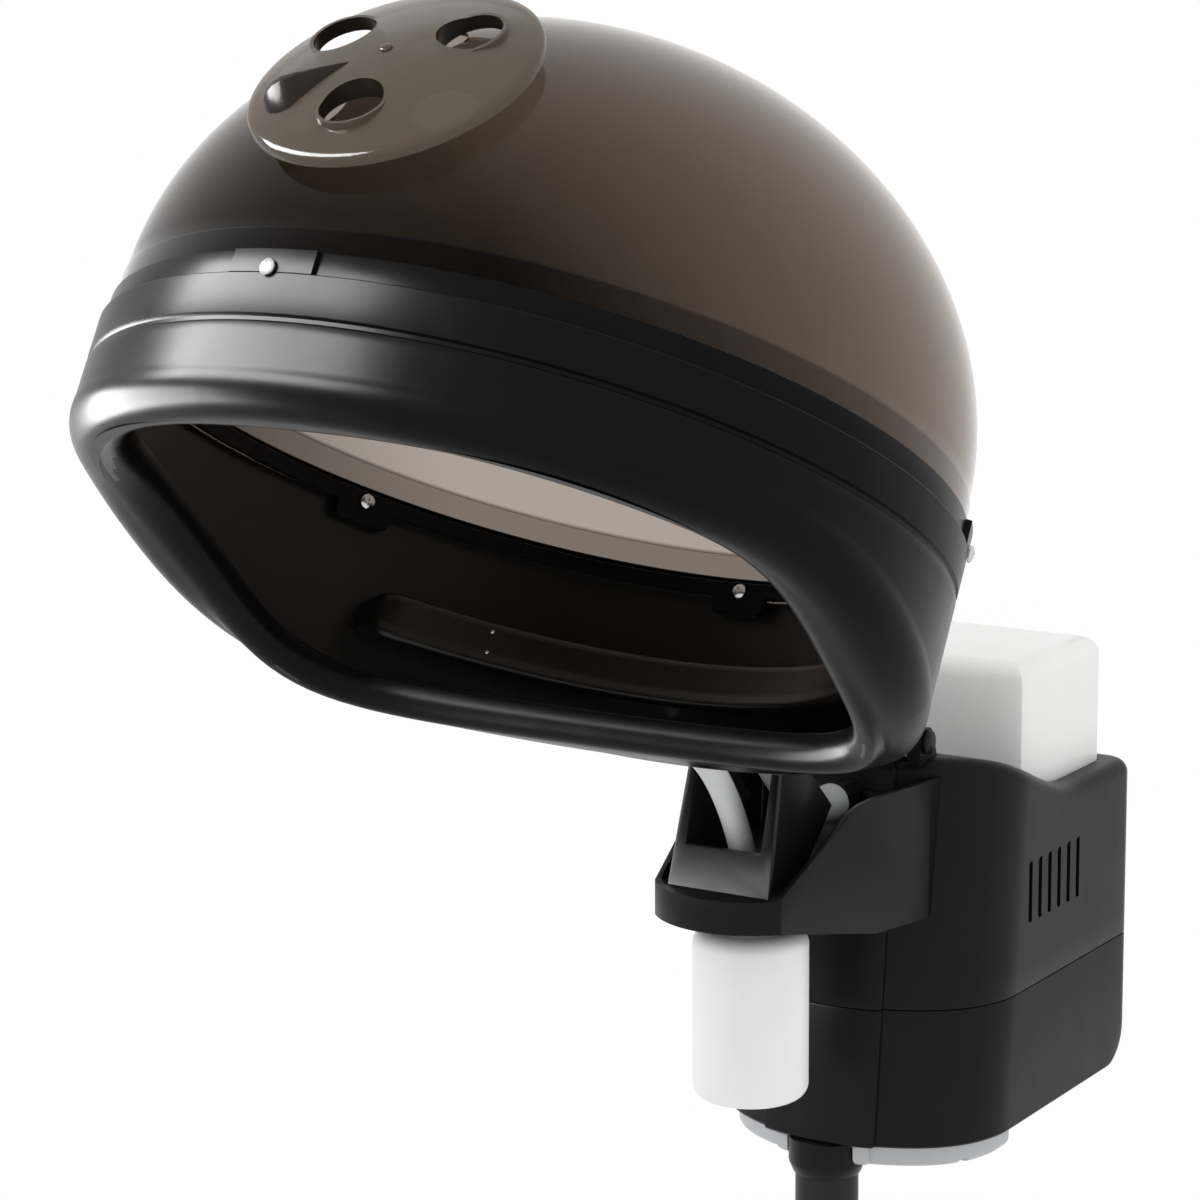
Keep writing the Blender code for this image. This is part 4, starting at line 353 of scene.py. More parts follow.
# each plastic: its colour, its roughness, how much that varies, and what is the same all over
plastics = {
    "glossBlack": ((0.0025, 0.0025, 0.003), 0.29, 0.02, sleek),
    # painted sheen: a lighter, warmer copy of the black with more gloss, for the bowl's inside and the steam
    # manifold
    "innerSheenBlack": ((0.0055, 0.0048, 0.0042), 0.30, 0.02, glossy),
    # painted shade: a black that mirrors less, for the floor of the bowl's recess
    "pocketShadeBlack": ((0.0025, 0.0025, 0.003), 0.24, 0.02, faint),
    "satinBlack": ((0.0055, 0.0055, 0.006), 0.33, 0.03, dull),
    "smokedDisc": ((0.118, 0.091, 0.068), 0.12, 0.02, hazy),
    # a darker smoke: painted shade on the vent disc's hole walls, and the pointer's colour
    "denseSmokeAndShade": ((0.020, 0.014, 0.009), 0.25, 0.03, dull),
    "milkWhite": ((0.90, 0.90, 0.895), 0.33, 0.05, milky),
    "bottleWhite": ((0.88, 0.885, 0.89), 0.38, 0.05),
    "hoseWhite": ((0.80, 0.81, 0.82), 0.36, 0.05),
    "hoseGrey": ((0.42, 0.43, 0.44), 0.40, 0.05),
    "panGrey": ((0.46, 0.47, 0.49), 0.42, 0.05),
    "poleGrey": ((0.020, 0.020, 0.022), 0.36, 0.05, dull),
    "rubberBlack": ((0.018, 0.018, 0.018), 0.62, 0.08),
    "nippleBlue": ((0.50, 0.58, 0.66), 0.20, 0.04),
    "lampRed": ((0.50, 0.016, 0.014), 0.18, 0.03),
}
finishes = {name: mouldedPlastic(name, *look) for name, look in plastics.items()}
finishes["smokedDomeAndShade"] = smokedPlasticAndShade("smokedDomeAndShade", domeTintAndShade)
finishes["brightSteel"] = brushedMetal("brightSteel", (0.66, 0.66, 0.67), 0.24, (1.0, 1.0, 0.15))
finishes["plainBrass"] = brushedMetal("plainBrass", (0.60, 0.42, 0.19), 0.28, (1.0, 1.0, 0.2))

# nodes that aren't named here are bright steel
finishNodes = {
    "glossBlack": "hood_bowl dome_ring hood_arm steam_manifold steam_inlet",
    "satinBlack": "upper_housing lower_housing front_bracket pole_socket timer_knob switch_body power_inlet "
    "vent_rivet steam_pipe hinge_pin hinge_nut",
    "smokedDomeAndShade": "dome",
    "smokedDisc": "vent_disc",
    "milkWhite": "water_tank terminal_block feed_tube",
    "bottleWhite": "condensate_bottle",
    "hoseWhite": "drain_hose",
    "hoseGrey": "steam_hose",
    "panGrey": "bottom_pan tank_cap timer_body",
    "poleGrey": "pole",
    "rubberBlack": "pole_end_plug bottle_collar tank_seat valve_stem friction_washer_left "
    "friction_washer_right",
    "nippleBlue": "drain_nipple",
    "lampRed": "power_rocker pilot_lamp",
    "plainBrass": "thermostat",
}
nodeFinish = {name: finish for finish, names in finishNodes.items() for name in names.split()}
for name, node in nodes.items():
    node.data.materials.clear()
    node.data.materials.append(finishes[nodeFinish.get(name, "brightSteel")])

print("workbench")


def pickNothing():
    if bpy.context.object and bpy.context.object.mode != "OBJECT":
        bpy.ops.object.mode_set(mode="OBJECT")
    bpy.ops.object.select_all(action="DESELECT")


def pickOnly(piece):
    pickNothing()
    piece.select_set(True)
    bpy.context.view_layer.objects.active = piece


def editAll(piece):
    pickOnly(piece)
    bpy.ops.object.mode_set(mode="EDIT")
    bpy.ops.mesh.select_all(action="SELECT")


def named(name):
    bpy.context.object.name = name
    return bpy.context.object


# merges seams and poles, then turns every face outwards
def closeUp(piece, fill=False):
    editAll(piece)
    bpy.ops.mesh.remove_doubles(threshold=1e-6)
    bpy.ops.mesh.dissolve_degenerate(threshold=1e-7)
    bpy.ops.mesh.select_all(action="SELECT")
    bpy.ops.mesh.delete_loose()
    if fill:
        bpy.ops.mesh.select_all(action="DESELECT")
        bpy.ops.mesh.select_non_manifold()
        bpy.ops.mesh.fill_holes(sides=0)
    bpy.ops.mesh.select_all(action="SELECT")
    bpy.ops.mesh.normals_make_consistent(inside=False)
    bpy.ops.object.mode_set(mode="OBJECT")
    return piece


# a closed outline of (radius, height) points, spun right round the upright axis
def spinOutline(name, outline, steps):
    pickNothing()
    bpy.ops.mesh.primitive_circle_add(vertices=len(outline))
    piece = named(name)
    for vert, (radius, height) in zip(piece.data.vertices, outline):
        vert.co = (radius * mm, 0.0, height * mm)
    editAll(piece)
    bpy.ops.mesh.spin(steps=steps, angle=2 * math.pi, center=(0, 0, 0), axis=(0, 0, 1))
    return closeUp(piece)


# rows of points, each row a loop; the rows are joined by one skin
def skinRows(name, rows, wrap=False, unit=mm):
    loops = [list(row) + [row[0]] for row in rows]
    if wrap:
        loops.append(loops[0])
    pickNothing()
    bpy.ops.mesh.primitive_grid_add(x_subdivisions=len(rows[0]), y_subdivisions=len(loops) - 1)
    piece = named(name)
    flat = [part * unit for loop in loops for point in loop for part in point]
    piece.data.vertices.foreach_set("co", flat)
    return closeUp(piece, fill=not wrap)


# a plan of (x, y) points, raised from one height to another
def standPrism(name, plan, low, high):
    return skinRows(name, [[(x, y, z) for x, y in plan] for z in (low, high)])


# a side view of (y, z) points, drawn out from one x to another
def sidePrism(name, side, start, end):
    return skinRows(name, [[(x, y, z) for y, z in side] for x in (start, end)])


def addBlock(name, low, high):
    pickNothing()
    middle = [(a + b) / 2 * mm for a, b in zip(low, high)]
    size = [(b - a) * mm for a, b in zip(low, high)]
    bpy.ops.mesh.primitive_cube_add(size=1.0, location=middle, scale=size)
    bpy.ops.object.transform_apply(location=True, rotation=True, scale=True)
    return named(name)


def inMetres(spot):
    return Vector([part * mm for part in spot])


def addRod(name, radius, start, end, sides):
    start, end = inMetres(start), inMetres(end)
    run = end - start
    pickNothing()
    bpy.ops.mesh.primitive_cylinder_add(
        vertices=sides,
        radius=radius * mm,
        depth=run.length,
        location=(start + end) / 2,
        rotation=run.to_track_quat("Z", "Y").to_euler(),
    )
    bpy.ops.object.transform_apply(location=True, rotation=True, scale=True)
    return named(name)


def carve(piece, tool, how="DIFFERENCE"):
    pickOnly(piece)
    step = piece.modifiers.new("carve", "BOOLEAN")
    step.operation = how
    step.solver = "EXACT"
    step.object = tool
    bpy.ops.object.modifier_apply(modifier=step.name)
    bpy.data.objects.remove(tool, do_unlink=True)
    return piece


def softEdges(piece, width, segments=2, angle=35.0):
    pickOnly(piece)
    step = piece.modifiers.new("softEdges", "BEVEL")
    step.width = width * mm
    step.segments = segments
    step.limit_method = "ANGLE"
    step.angle_limit = math.radians(angle)
    bpy.ops.object.modifier_apply(modifier=step.name)
    return piece


# rounds the edges that a test picks out
def roundEdges(piece, wanted, radius, segments):
    editAll(piece)
    mesh = bmesh.from_edit_mesh(piece.data)
    for edge in mesh.edges:
        edge.select_set(wanted(*(vert.co for vert in edge.verts)))
    mesh.select_flush_mode()
    bmesh.update_edit_mesh(piece.data)
    bpy.ops.mesh.bevel(offset=radius * mm, segments=segments, affect="EDGES")
    bpy.ops.object.mode_set(mode="OBJECT")
    return piece


def runsAlong(axis):
    return lambda start, end: abs(getattr(end - start, axis)) > 0.99 * (end - start).length


def liesAt(height):
    return lambda start, end: max(abs(start.z - height * mm), abs(end.z - height * mm)) < 1e-5


def smooth(piece, angle=35.0):
    pickOnly(piece)
    bpy.ops.object.shade_smooth_by_angle(angle=math.radians(angle))
    return piece


def placed(piece, place, angle=35.0):
    piece.data.transform(place)
    return smooth(piece, angle)


# merges what machining or carving left in many small faces
def mergeFaces(piece, closer):
    editAll(piece)
    bpy.ops.mesh.remove_doubles(threshold=closer)
    bpy.ops.mesh.dissolve_limited(angle_limit=math.radians(0.5))
    bpy.ops.object.mode_set(mode="OBJECT")
    return piece


def settle(piece, body, slot, finish, *stoodFor):
    piece.data.materials.clear()
    piece.data.materials.append(finishes[finish])
    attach(piece, body)
    if stoodFor:
        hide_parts(*stoodFor)
    return piece


# keeps the mirrored sheen box off a pale or see-through piece
def spareSheen(piece):
    spared.objects.link(piece)
    for entry in spared.collection_objects:
        entry.light_linking.link_state = "EXCLUDE"


# gives some faces of a piece another finish
def secondFinish(piece, finish, faces):
    piece.data.materials.append(finishes[finish])
    for index in faces:
        piece.data.polygons[index].material_index = len(piece.data.materials) - 1


def mix(first, last, share):
    return first + (last - first) * share


def ease(t):
    t = min(max(t, 0.0), 1.0)
    return t * t * (3 - 2 * t)


# an arc in an outline, with its turns in degrees from the right
def bend(centre, radius, start, end, count):
    turns = [math.radians(start + (end - start) * k / count) for k in range(count + 1)]
    return [(centre[0] + radius * math.cos(t), centre[1] + radius * math.sin(t)) for t in turns]


# an arc in a plan, with its turns in radians from straight ahead
def sweep(centre, radius, start, end, count):
    turns = [start + (end - start) * k / count for k in range(count + 1)]
    return [(centre[0] + radius * math.sin(t), centre[1] - radius * math.cos(t)) for t in turns]


def mirrored(half):
    return [(-x, y) for x, y in reversed(half[1:])]


def apart(turn, other):
    return abs((turn - other + 180) % 360 - 180)


def inHood(radius, turn, height):
    return (radius * math.sin(turn), -radius * math.cos(turn), height)


# slices of (radius, height) points, one for each turn, as rows round the hood's axis
def hoodRows(slices, turns):
    return [[inHood(r, turn, h) for (r, h), turn in zip(row, turns)] for row in zip(*slices)]


print("hood bowl")
bowl = {
    "radius": 190.0,
    "wall": 3.6,
    "edge": 0.5,
    "softer": 0.15,
    "recessHeight": 10.0,
    "recessDepth": 2.2,
    "grooveTop": 27.5,
    "grooveHeight": 3.0,
    "grooveDepth": 1.2,
    "grooveSlope": 0.7,
    "rimFront": 67.0,
    "rimDrop": 39.0,
    "dropStart": -80.0,
    "dropEnd": 120.0,
    "rollFront": 14.0,
    "rollSide": 20.0,
    "rollRear": 10.0,
    "rollLift": 13.0,
    "rearStart": 92.0,
    "rearSpan": 52.0,
    "rearRaise": 13.0,
    "lipFront": 15.0,
    "lipRear": 9.0,
    "lipRise": 4.0,
    "mouthHalf": 150.0,
    "mouthFront": 157.0,
    "mouthRear": 107.0,
    "frontPower": 2.5,
    "rearPower": 4.5,
    "insideFrom": 0.88,
    "fineTurn": 2.5,
    "tabTurns": (-4.0, 116.0, 176.0, 236.0),
    "tabWidth": 42.0,
    "tabStep": 0.1,
    "tabClear": 0.6,
    "screwHeight": -8.5,
    "padHalf": 36.0,
    "padFace": 197.0,
    "padLow": -46.0,
    "padHigh": -14.0,
    "padRoot": 1.0,
}


def rimHeight(y):
    fall = ease((y - bowl["dropStart"]) / (bowl["dropEnd"] - bowl["dropStart"]))
    return -bowl["rimFront"] - bowl["rimDrop"] * fall


# an oval front that runs into squarer rear corners
def mouthRadius(turn):
    end = "front" if math.cos(turn) > 0 else "rear"
    power = bowl[end + "Power"]
    across = abs(math.sin(turn)) / bowl["mouthHalf"]
    along = abs(math.cos(turn)) / bowl["mouth" + end.title()]
    return (across**power + along**power) ** (-1 / power)


def bowlSlice(turn, onTab):
    r, t, edge, softer = take(bowl, "radius", "wall", "edge", "softer")
    ahead = -math.cos(turn)
    turn = turn % (2 * math.pi)
    swing = min(turn, 2 * math.pi - turn)
    behind = ease((swing - math.radians(bowl["rearStart"])) / math.radians(bowl["rearSpan"]))
    roll = mix(bowl["rollFront"], bowl["rollSide"], ease(swing / (math.pi / 2)))
    roll -= (bowl["rollSide"] - bowl["rollRear"]) * behind
    lip = mix(bowl["lipRear"], bowl["lipFront"], (1 + math.cos(turn)) / 2)
    mouth = mouthRadius(turn)
    low = rimHeight((r - roll) * ahead) + bowl["rearRaise"] * behind
    lowIn = rimHeight((mouth + lip) * ahead)
    top = r if onTab else r - bowl["recessDepth"]
    step = -bowl["recessHeight"]
    points = [(top - edge, 0), (top - softer, -softer), (top, -edge)]
    points += [(top, step + 0.3), (top, step), (r - 0.3, step - 0.1), (r, step - edge)]
    grooveTop = -bowl["grooveTop"]
    grooveLow = grooveTop - bowl["grooveHeight"]
    floor, slope = r - bowl["grooveDepth"], bowl["grooveSlope"]
    points += [(r, grooveTop + edge), (r - softer, grooveTop + softer), (r - edge, grooveTop)]
    points += [(floor, grooveTop - slope), (floor, grooveLow + slope), (r - edge, grooveLow)]
    points += [(r - softer, grooveLow - softer), (r, grooveLow - edge), (r, grooveLow - 4)]
    lift = math.radians(bowl["rollLift"])
    heart = (r - roll * math.cos(lift), low + roll)
    points += [(r, heart[1] + roll * math.sin(lift) + 1.2)]
    points += bend(heart, roll, bowl["rollLift"], -90, 16)
    for share in (0.25, 0.5, 0.75):
        points.append((mix(heart[0], mouth + lip, share), mix(low, lowIn, ease(share))))
    points += bend((mouth + lip, lowIn + lip), lip, 270, 180, 10)
    points += bend((mouth + t / 2, lowIn + lip + bowl["lipRise"]), t / 2, 180, 0, 6)
    points += bend((mouth + lip, lowIn + lip), lip - t, 180, 270, 6)
    points += bend((r - roll, low + roll), roll - t, -90, 0, 6)
    return points + [(r - t, -20), (r - t, -edge), (r - t + edge, 0)]


def tabbedTurns():
    half, step = math.degrees(bowl["tabWidth"] / 2 / bowl["radius"]), bowl["tabStep"]
    edges = []
    for middle in bowl["tabTurns"]:
        edges += [(middle - half - step, False), (middle - half + step, True)]
        edges += [(middle + half - step, True), (middle + half + step, False)]
    spots = [(turn % 360, on) for turn, on in edges]
    for k in range(round(360 / bowl["fineTurn"])):
        turn = k * bowl["fineTurn"]
        if min(apart(turn, other) for other, _ in edges) >= bowl["tabClear"]:
            spots.append((turn, any(apart(turn, middle) < half for middle in bowl["tabTurns"])))
    return [(math.radians(turn), on) for turn, on in sorted(spots)]


def makeBowl():
    spots = tabbedTurns()
    slices = [bowlSlice(turn, on) for turn, on in spots]
    piece = skinRows("hoodBowl", hoodRows(slices, [turn for turn, _ in spots]), wrap=True)
    floor = bowl["radius"] - bowl["recessDepth"]
    shadedPocket, inside = [], []
    for face in piece.data.polygons:
        x, y, z = face.center / mm
        reach = math.hypot(x, y)
        inwards = -(face.normal.x * x + face.normal.y * y)
        # the recess floor gets the painted shade
        if abs(reach - floor) < 0.5 and -bowl["recessHeight"] < z < -0.3:
            shadedPocket.append(face.index)
        if reach > bowl["insideFrom"] * bowl["radius"] and inwards > 0.3 * reach:
            inside.append(face.index)
    settle(placed(piece, hoodPlace, 30.0), "hood", "shell_black", "glossBlack", "hood_bowl")
    lipLit.objects.link(piece)
    # the inside faces get the painted sheen
    secondFinish(piece, "innerSheenBlack", inside)
    secondFinish(piece, "pocketShadeBlack", shadedPocket)


def makeArmPad():
    half, root = bowl["padHalf"], bowl["radius"] - bowl["padRoot"]
    reach = math.asin((half - bowl["padRoot"]) / root)
    plan = [(half, bowl["padFace"]), (-half, bowl["padFace"])]
    plan += sweep((0, 0), root, math.pi + reach, math.pi - reach, 16)
    piece = softEdges(standPrism("armPad", plan, bowl["padLow"], bowl["padHigh"]), 1.0, 3, 50.0)
    settle(placed(piece, hoodPlace), "hood", "shell_black", "glossBlack", "hood_bowl")


makeBowl()
makeArmPad()

print("dome and ring")
dome = {
    "gap": 0.3,
    "step": 0.8,
    "wall": 3.0,
    "edge": 0.4,
    "skirtLow": -10.6,
    "breakHeight": 11.5,
    "height": 158.5,
    "ringTop": -3.5,
    "ringLedge": -11.0,
    "ringWall": 3.0,
    "ringEdge": 0.5,
    "tabLow": -19.0,
    "tabWidth": 28.0,
    "tabCorner": 3.5,
    "tabSteps": (-1.1, -0.6, -0.25, 0.0, 0.1),
    "ventTurn": 62.0,
    "holeSize": 27.0,
    "holeRadius": 33.5,
    "holeRun": (-20.0, 12.0),
    "firstHole": -26.0,
    "rivet": 3.6,
}
domeSkirt = bowl["radius"] - bowl["wall"] - dome["gap"]


def domePoint(turn, inset=0.0):
    r = domeSkirt - dome["step"] - inset
    return (r * math.sin(turn), dome["breakHeight"] + (dome["height"] - inset) * math.cos(turn))


ventTurn = math.radians(dome["ventTurn"])
ventReach, ventRise = domePoint(ventTurn)
ventLean = math.atan2(math.sin(ventTurn) / domePoint(math.pi / 2)[0], math.cos(ventTurn) / dome["height"])
ventPlace = hoodPlace @ shift(0, -ventReach, ventRise) @ Matrix.Rotation(ventLean, 4, "X")


def threeSpots(first, radius):
    turns = [math.radians(first + 120 * k) for k in range(3)]
    return [(radius * math.cos(turn), radius * math.sin(turn)) for turn in turns]


def threeRods(first, radius, size, low, high):
    spots = threeSpots(first, radius)
    return [addRod("holeTool", size / 2, (x, y, low), (x, y, high), 56) for x, y in spots]


def makeDome():
    count, edge, wall = 40, dome["edge"], dome["wall"]
    inner, low, high = domeSkirt - wall, dome["skirtLow"], dome["breakHeight"]
    peak = high + dome["height"]
    outline = [(inner + edge, low), (domeSkirt - edge, low), (domeSkirt, low + edge)]
    outline += [(domeSkirt, high - 1.3), (domeSkirt - 0.15, high - 0.95), (domeSkirt - 0.5, high - 0.8)]
    outline += [domePoint(math.pi / 2 * (1 - k / count)) for k in range(count)]
    outline += [(0, peak), (0, peak - wall)]
    outline += [domePoint(math.pi / 2 * k / count, wall - dome["step"]) for k in range(1, count + 1)]
    outline += [(inner, low + edge)]
    piece = spinOutline("smokedDomeAndShade", outline, 144)
    piece.data.transform(hoodPlace)
    low, high = dome["holeRun"]
    tools = threeRods(dome["firstHole"], dome["holeRadius"], dome["holeSize"], low, high)
    tools.append(addRod("rivetTool", dome["rivet"] / 2, (0, 0, low), (0, 0, high), 24))
    for tool in tools:
        tool.data.transform(ventPlace)
        carve(piece, tool)
    spareSheen(settle(smooth(piece, 30.0), "hood", "smoke", "smokedDomeAndShade", "dome"))


def makeRing():
    outside = domeSkirt - dome["wall"] - dome["gap"]
    inside = outside - dome["ringWall"]
    half = math.degrees(dome["tabWidth"] / 2 / outside)
    spots = [k * bowl["fineTurn"] for k in range(round(360 / bowl["fineTurn"]))]
    for middle in bowl["tabTurns"]:
        for side in (-1, 1):
            spots += [middle + side * (half + offset) for offset in dome["tabSteps"]]
    turns = sorted({round(spot % 360, 3) for spot in spots})
    top, edge, corner = take(dome, "ringTop", "ringEdge", "tabCorner")
    slices = []
    for turn in turns:
        near = half - min(apart(turn, middle) for middle in bowl["tabTurns"])
        low = dome["ringLedge"]
        if near >= 0:
            along = min(math.radians(near) * outside, corner)
            low = dome["tabLow"] + corner - math.sqrt(corner**2 - (corner - along) ** 2)
        points = [(inside, top - edge), (inside + edge, top), (outside - edge, top), (outside, top - edge)]
        points += [(outside, low + edge), (outside - edge, low), (inside + edge, low), (inside, low + edge)]
        slices.append(points)
    piece = skinRows("domeRing", hoodRows(slices, [math.radians(turn) for turn in turns]), wrap=True)
    settle(placed(piece, hoodPlace, 30.0), "hood", "shell_black", "glossBlack", "dome_ring")


makeDome()
makeRing()

print("vent disc")
vent = {
    "radius": 61.6,
    "curve": 172.0,
    "thick": 2.5,
    "lift": 11.0,
    "skirt": 2.0,
    "edge": 0.3,
    "hub": 5.0,
    "holeWall": 1.6,
    "collarLow": 3.6,
    "collarUp": 2.0,
    "firstHole": 34.0,
    "pointerTurn": 219.0,
    "pointerStart": 16.0,
    "pointerEnd": 53.0,
    "pointerHalf": 11.0,
    "pointerTip": 0.8,
    "pointerRise": 7.5,
    "pointerWidest": 0.75,
    "pointerRows": (0.0, 0.2, 0.4, 0.6, 0.75, 0.84, 0.91, 0.96, 0.99, 1.0),
    "rivet": 3.0,
    "rivetHead": 1.1,
    "rivetFoot": 3.0,
}


def discHeight(r):
    return vent["lift"] - vent["curve"] + math.sqrt(vent["curve"] ** 2 - r**2)


def makeDisc():
    r, thick, edge = take(vent, "radius", "thick", "edge")
    bore = vent["rivet"] / 2 + edge
    radii = [mix(vent["hub"] + 1, r - 1.2, k / 24) for k in range(25)]
    rim = discHeight(r)
    foot = rim - vent["skirt"]
    hub = vent["hub"]
    outline = [(bore, edge), (hub - 0.5, edge), (hub, discHeight(hub + 3) - 1)]
    outline += [(reach, discHeight(reach)) for reach in radii]
    outline += [(r - 1.2, foot + edge), (r - 0.9, foot), (r - edge, foot), (r, foot + edge)]
    outline += [(r, rim + thick - 1.4), (r - edge, rim + thick - 0.5)]
    outline += [(reach, discHeight(reach) + thick) for reach in reversed(radii)]
    outline += [(bore, discHeight(bore) + thick)]
    piece = spinOutline("ventDisc", outline, 120)
    first, hole, reach = vent["firstHole"], dome["holeSize"], dome["holeRadius"]
    collarTop = discHeight(reach) + vent["collarUp"]
    for tool in threeRods(first, reach, hole + 2 * vent["holeWall"], vent["collarLow"], collarTop):
        carve(piece, tool, "UNION")
    for tool in threeRods(first, reach, hole, -20, 30):
        carve(piece, tool)
    # painted shade: the walls of the holes get the darker smoke
    shadedWalls = []
    for face in piece.data.polygons:
        x, y, _ = face.center / mm
        away = min(math.hypot(x - atX, y - atY) for atX, atY in threeSpots(first, reach))
        if away < hole / 2 + 0.2 and abs(face.normal.z) < 0.5:
            shadedWalls.append(face.index)
    settle(placed(piece, ventPlace, 30.0), "vent", "smoke", "smokedDisc", "vent_disc")
    secondFinish(piece, "denseSmokeAndShade", shadedWalls)


# the raised wedge that a finger turns the disc by
def makePointer():
    turn = math.radians(vent["pointerTurn"])
    along = Vector((math.cos(turn), math.sin(turn), 0))
    across = Vector((-math.sin(turn), math.cos(turn), 0))
    widest = vent["pointerWidest"]
    rows = []
    for t in vent["pointerRows"]:
        reach = mix(vent["pointerStart"], vent["pointerEnd"], t)
        grow = min(t / widest, 1.0)
        past = max(0.0, (t - widest) / (1 - widest))
        close = math.sqrt(max(0.0, 1 - past**2))  # the blunt end rounds off
        half = vent["pointerTip"] + vent["pointerHalf"] * grow * close
        base = discHeight(math.hypot(reach, half)) + vent["thick"] - 0.4
        top = discHeight(reach) + vent["thick"] + 0.2
        top += vent["pointerRise"] * grow * (0.3 + 0.7 * close)
        corners = ((-1.0, base), (1.0, base), (0.15, top), (-0.15, top))
        rows.append([along * reach + across * half * side + Vector((0, 0, z)) for side, z in corners])
    piece = softEdges(skinRows("ventPointer", rows), 0.7, 3, 40.0)
    settle(placed(piece, ventPlace, 40.0), "vent", "smoke", "denseSmokeAndShade")


def makeRivet():
    r = vent["rivet"] / 2
    head, foot = r + vent["rivetHead"], r + vent["rivetFoot"]
    top = discHeight(0) + vent["thick"] + 0.3
    low = -dome["wall"] - 0.6
    outline = [(0, low - 2), (foot - 0.4, low - 2), (foot, low - 1.6), (foot, low)]
    outline += [(r, low), (r, top), (head - 0.2, top), (head, top + 0.2)]
    outline += [(head * math.cos(t), top + 0.2 + math.sin(t)) for t in (0.35, 0.7, 1.05, 1.35)]
    outline += [(0, top + 1.2)]
    piece = spinOutline("ventRivet", outline, 48)
    settle(placed(piece, ventPlace, 40.0), "hood", "dark_grey", "smokedDisc", "vent_rivet")


makeDisc()
makePointer()
makeRivet()

print("housing")
housing = {
    "bottom": 70.0,
    "seam": 139.5,
    "wall": 2.5,
    "edge": 0.6,
    "softer": 0.18,
    "frontY": -12.0,
    "frontR": 95.0,
    "cornerR": 55.0,
    "half": 76.5,
    "rearY": 196.0,
    "rearR": 14.0,
    "heel": 20.0,
    "heelRows": (0.35, 1.2, 2.5, 4.0, 6.0, 8.0, 10.0, 13.0, 16.0, 20.0),
    "heelEdge": 1.2,
    "tuck": 14.0,
    "lean": 0.103,
    "pilasterHalf": 31.0,
    "pilasterProud": 2.5,
    "pilasterEdge": 0.5,
    "top": 264.0,
    "deck": 233.0,
    "sweepStart": 25.0,
    "sweepEnd": 130.0,
    "topRound": 7.0,
    "ventCount": 6,
    "ventPitch": 11.0,
    "ventWidth": 4.0,
    "ventFirst": 70.5,
    "ventLow": 173.5,
    "ventHigh": 205.0,
    "ventCut": 6.0,
    "ventRound": 0.9,
    "gap": 0.3,
    "earInner": 36.0,
    "earOuter": 43.0,
    "lug": 7.5,
}
tank = {
    "half": 62.0,
    "front": 87.4,
    "rear": 178.0,
    "low": 220.9,
    "top": 300.0,
    "corner": 14.0,
    "edge": 10.0,
    "footEdge": 6.0,
    "neck": 16.0,
    "neckLow": 211.6,
    "gap": 1.0,
    "wellFloor": 206.0,
}
pan = {
    "rear": 72.0,
    "inset": 5.0,
    "depth": 11.5,
    "edge": 4.0,
    "ledge": 0.8,
    "fit": 0.7,
    "notch": 3.2,
    "notchY": 25.0,
    "notchX": (40.0, 90.0),
    "socketRoom": 20.1,
    "webHalf": 8.8,
    "webRear": 44.8,
}


def frontCentre(height):
    return (0, housing["frontY"] + housing["lean"] * (height - housing["bottom"]) + housing["frontR"])


def housingPlan(offset, height, rearIn=0.0):
    frontR, cornerR, rearR = take(housing, "frontR", "cornerR", "rearR")
    centre = frontCentre(height)
    reach = frontR - cornerR
    turn = math.asin((housing["half"] - cornerR) / reach)
    proud, plain = frontR + housing["pilasterProud"] + offset, frontR + offset
    step, edge = housing["pilasterHalf"] + offset, housing["pilasterEdge"]
    half = sweep(centre, proud, 0, math.asin((step - edge) / proud), 12)
    half.append((step, centre[1] - math.sqrt((proud - edge) ** 2 - step**2)))
    half += sweep(centre, plain, math.asin(step / plain), turn, 9)[:-1]
    corner = (reach * math.sin(turn), centre[1] - reach * math.cos(turn))
    half += sweep(corner, cornerR + offset, turn, math.pi / 2, 18)
    rear = (housing["half"] - rearR, housing["rearY"] - rearIn - rearR)
    half += [(housing["half"] + offset, mix(corner[1], rear[1], k / 12)) for k in range(1, 12)]
    half += sweep(rear, rearR + offset, math.pi / 2, math.pi, 9)
    return half + mirrored(half)


def planAt(offset, height, rearIn=0.0):
    return [(x, y, height) for x, y in housingPlan(offset, height, rearIn)]


def topHeight(y):
    fall = ease((y - housing["sweepStart"]) / (housing["sweepEnd"] - housing["sweepStart"]))
    return mix(housing["top"], housing["deck"], fall)


def topPlan(offset, below):
    return [(x, y, topHeight(y) - below) for x, y in housingPlan(offset, housing["top"])]


# closes both ends along the middle, so that a swept top keeps its shape
def midCapped(name, rows):
    ends = [[(0.0, y, z) for _, y, z in row] for row in (rows[0], rows[-1])]
    return skinRows(name, [ends[0]] + rows + [ends[1]])


def heelInset(height):
    rise = min(max((height - housing["bottom"]) / housing["heel"], 0.0), 1.0)
    return housing["heel"] * (1 - math.sqrt(1 - (1 - rise) ** 2))


def wellBlock(name, grow, low, high):
    spare = tank["gap"] + grow
    wide, front, rear = tank["half"] + spare, tank["front"] - spare, tank["rear"] + spare
    block = addBlock(name, (-wide, front, low), (wide, rear, high))
    return roundEdges(block, runsAlong("z"), tank["corner"], 8)


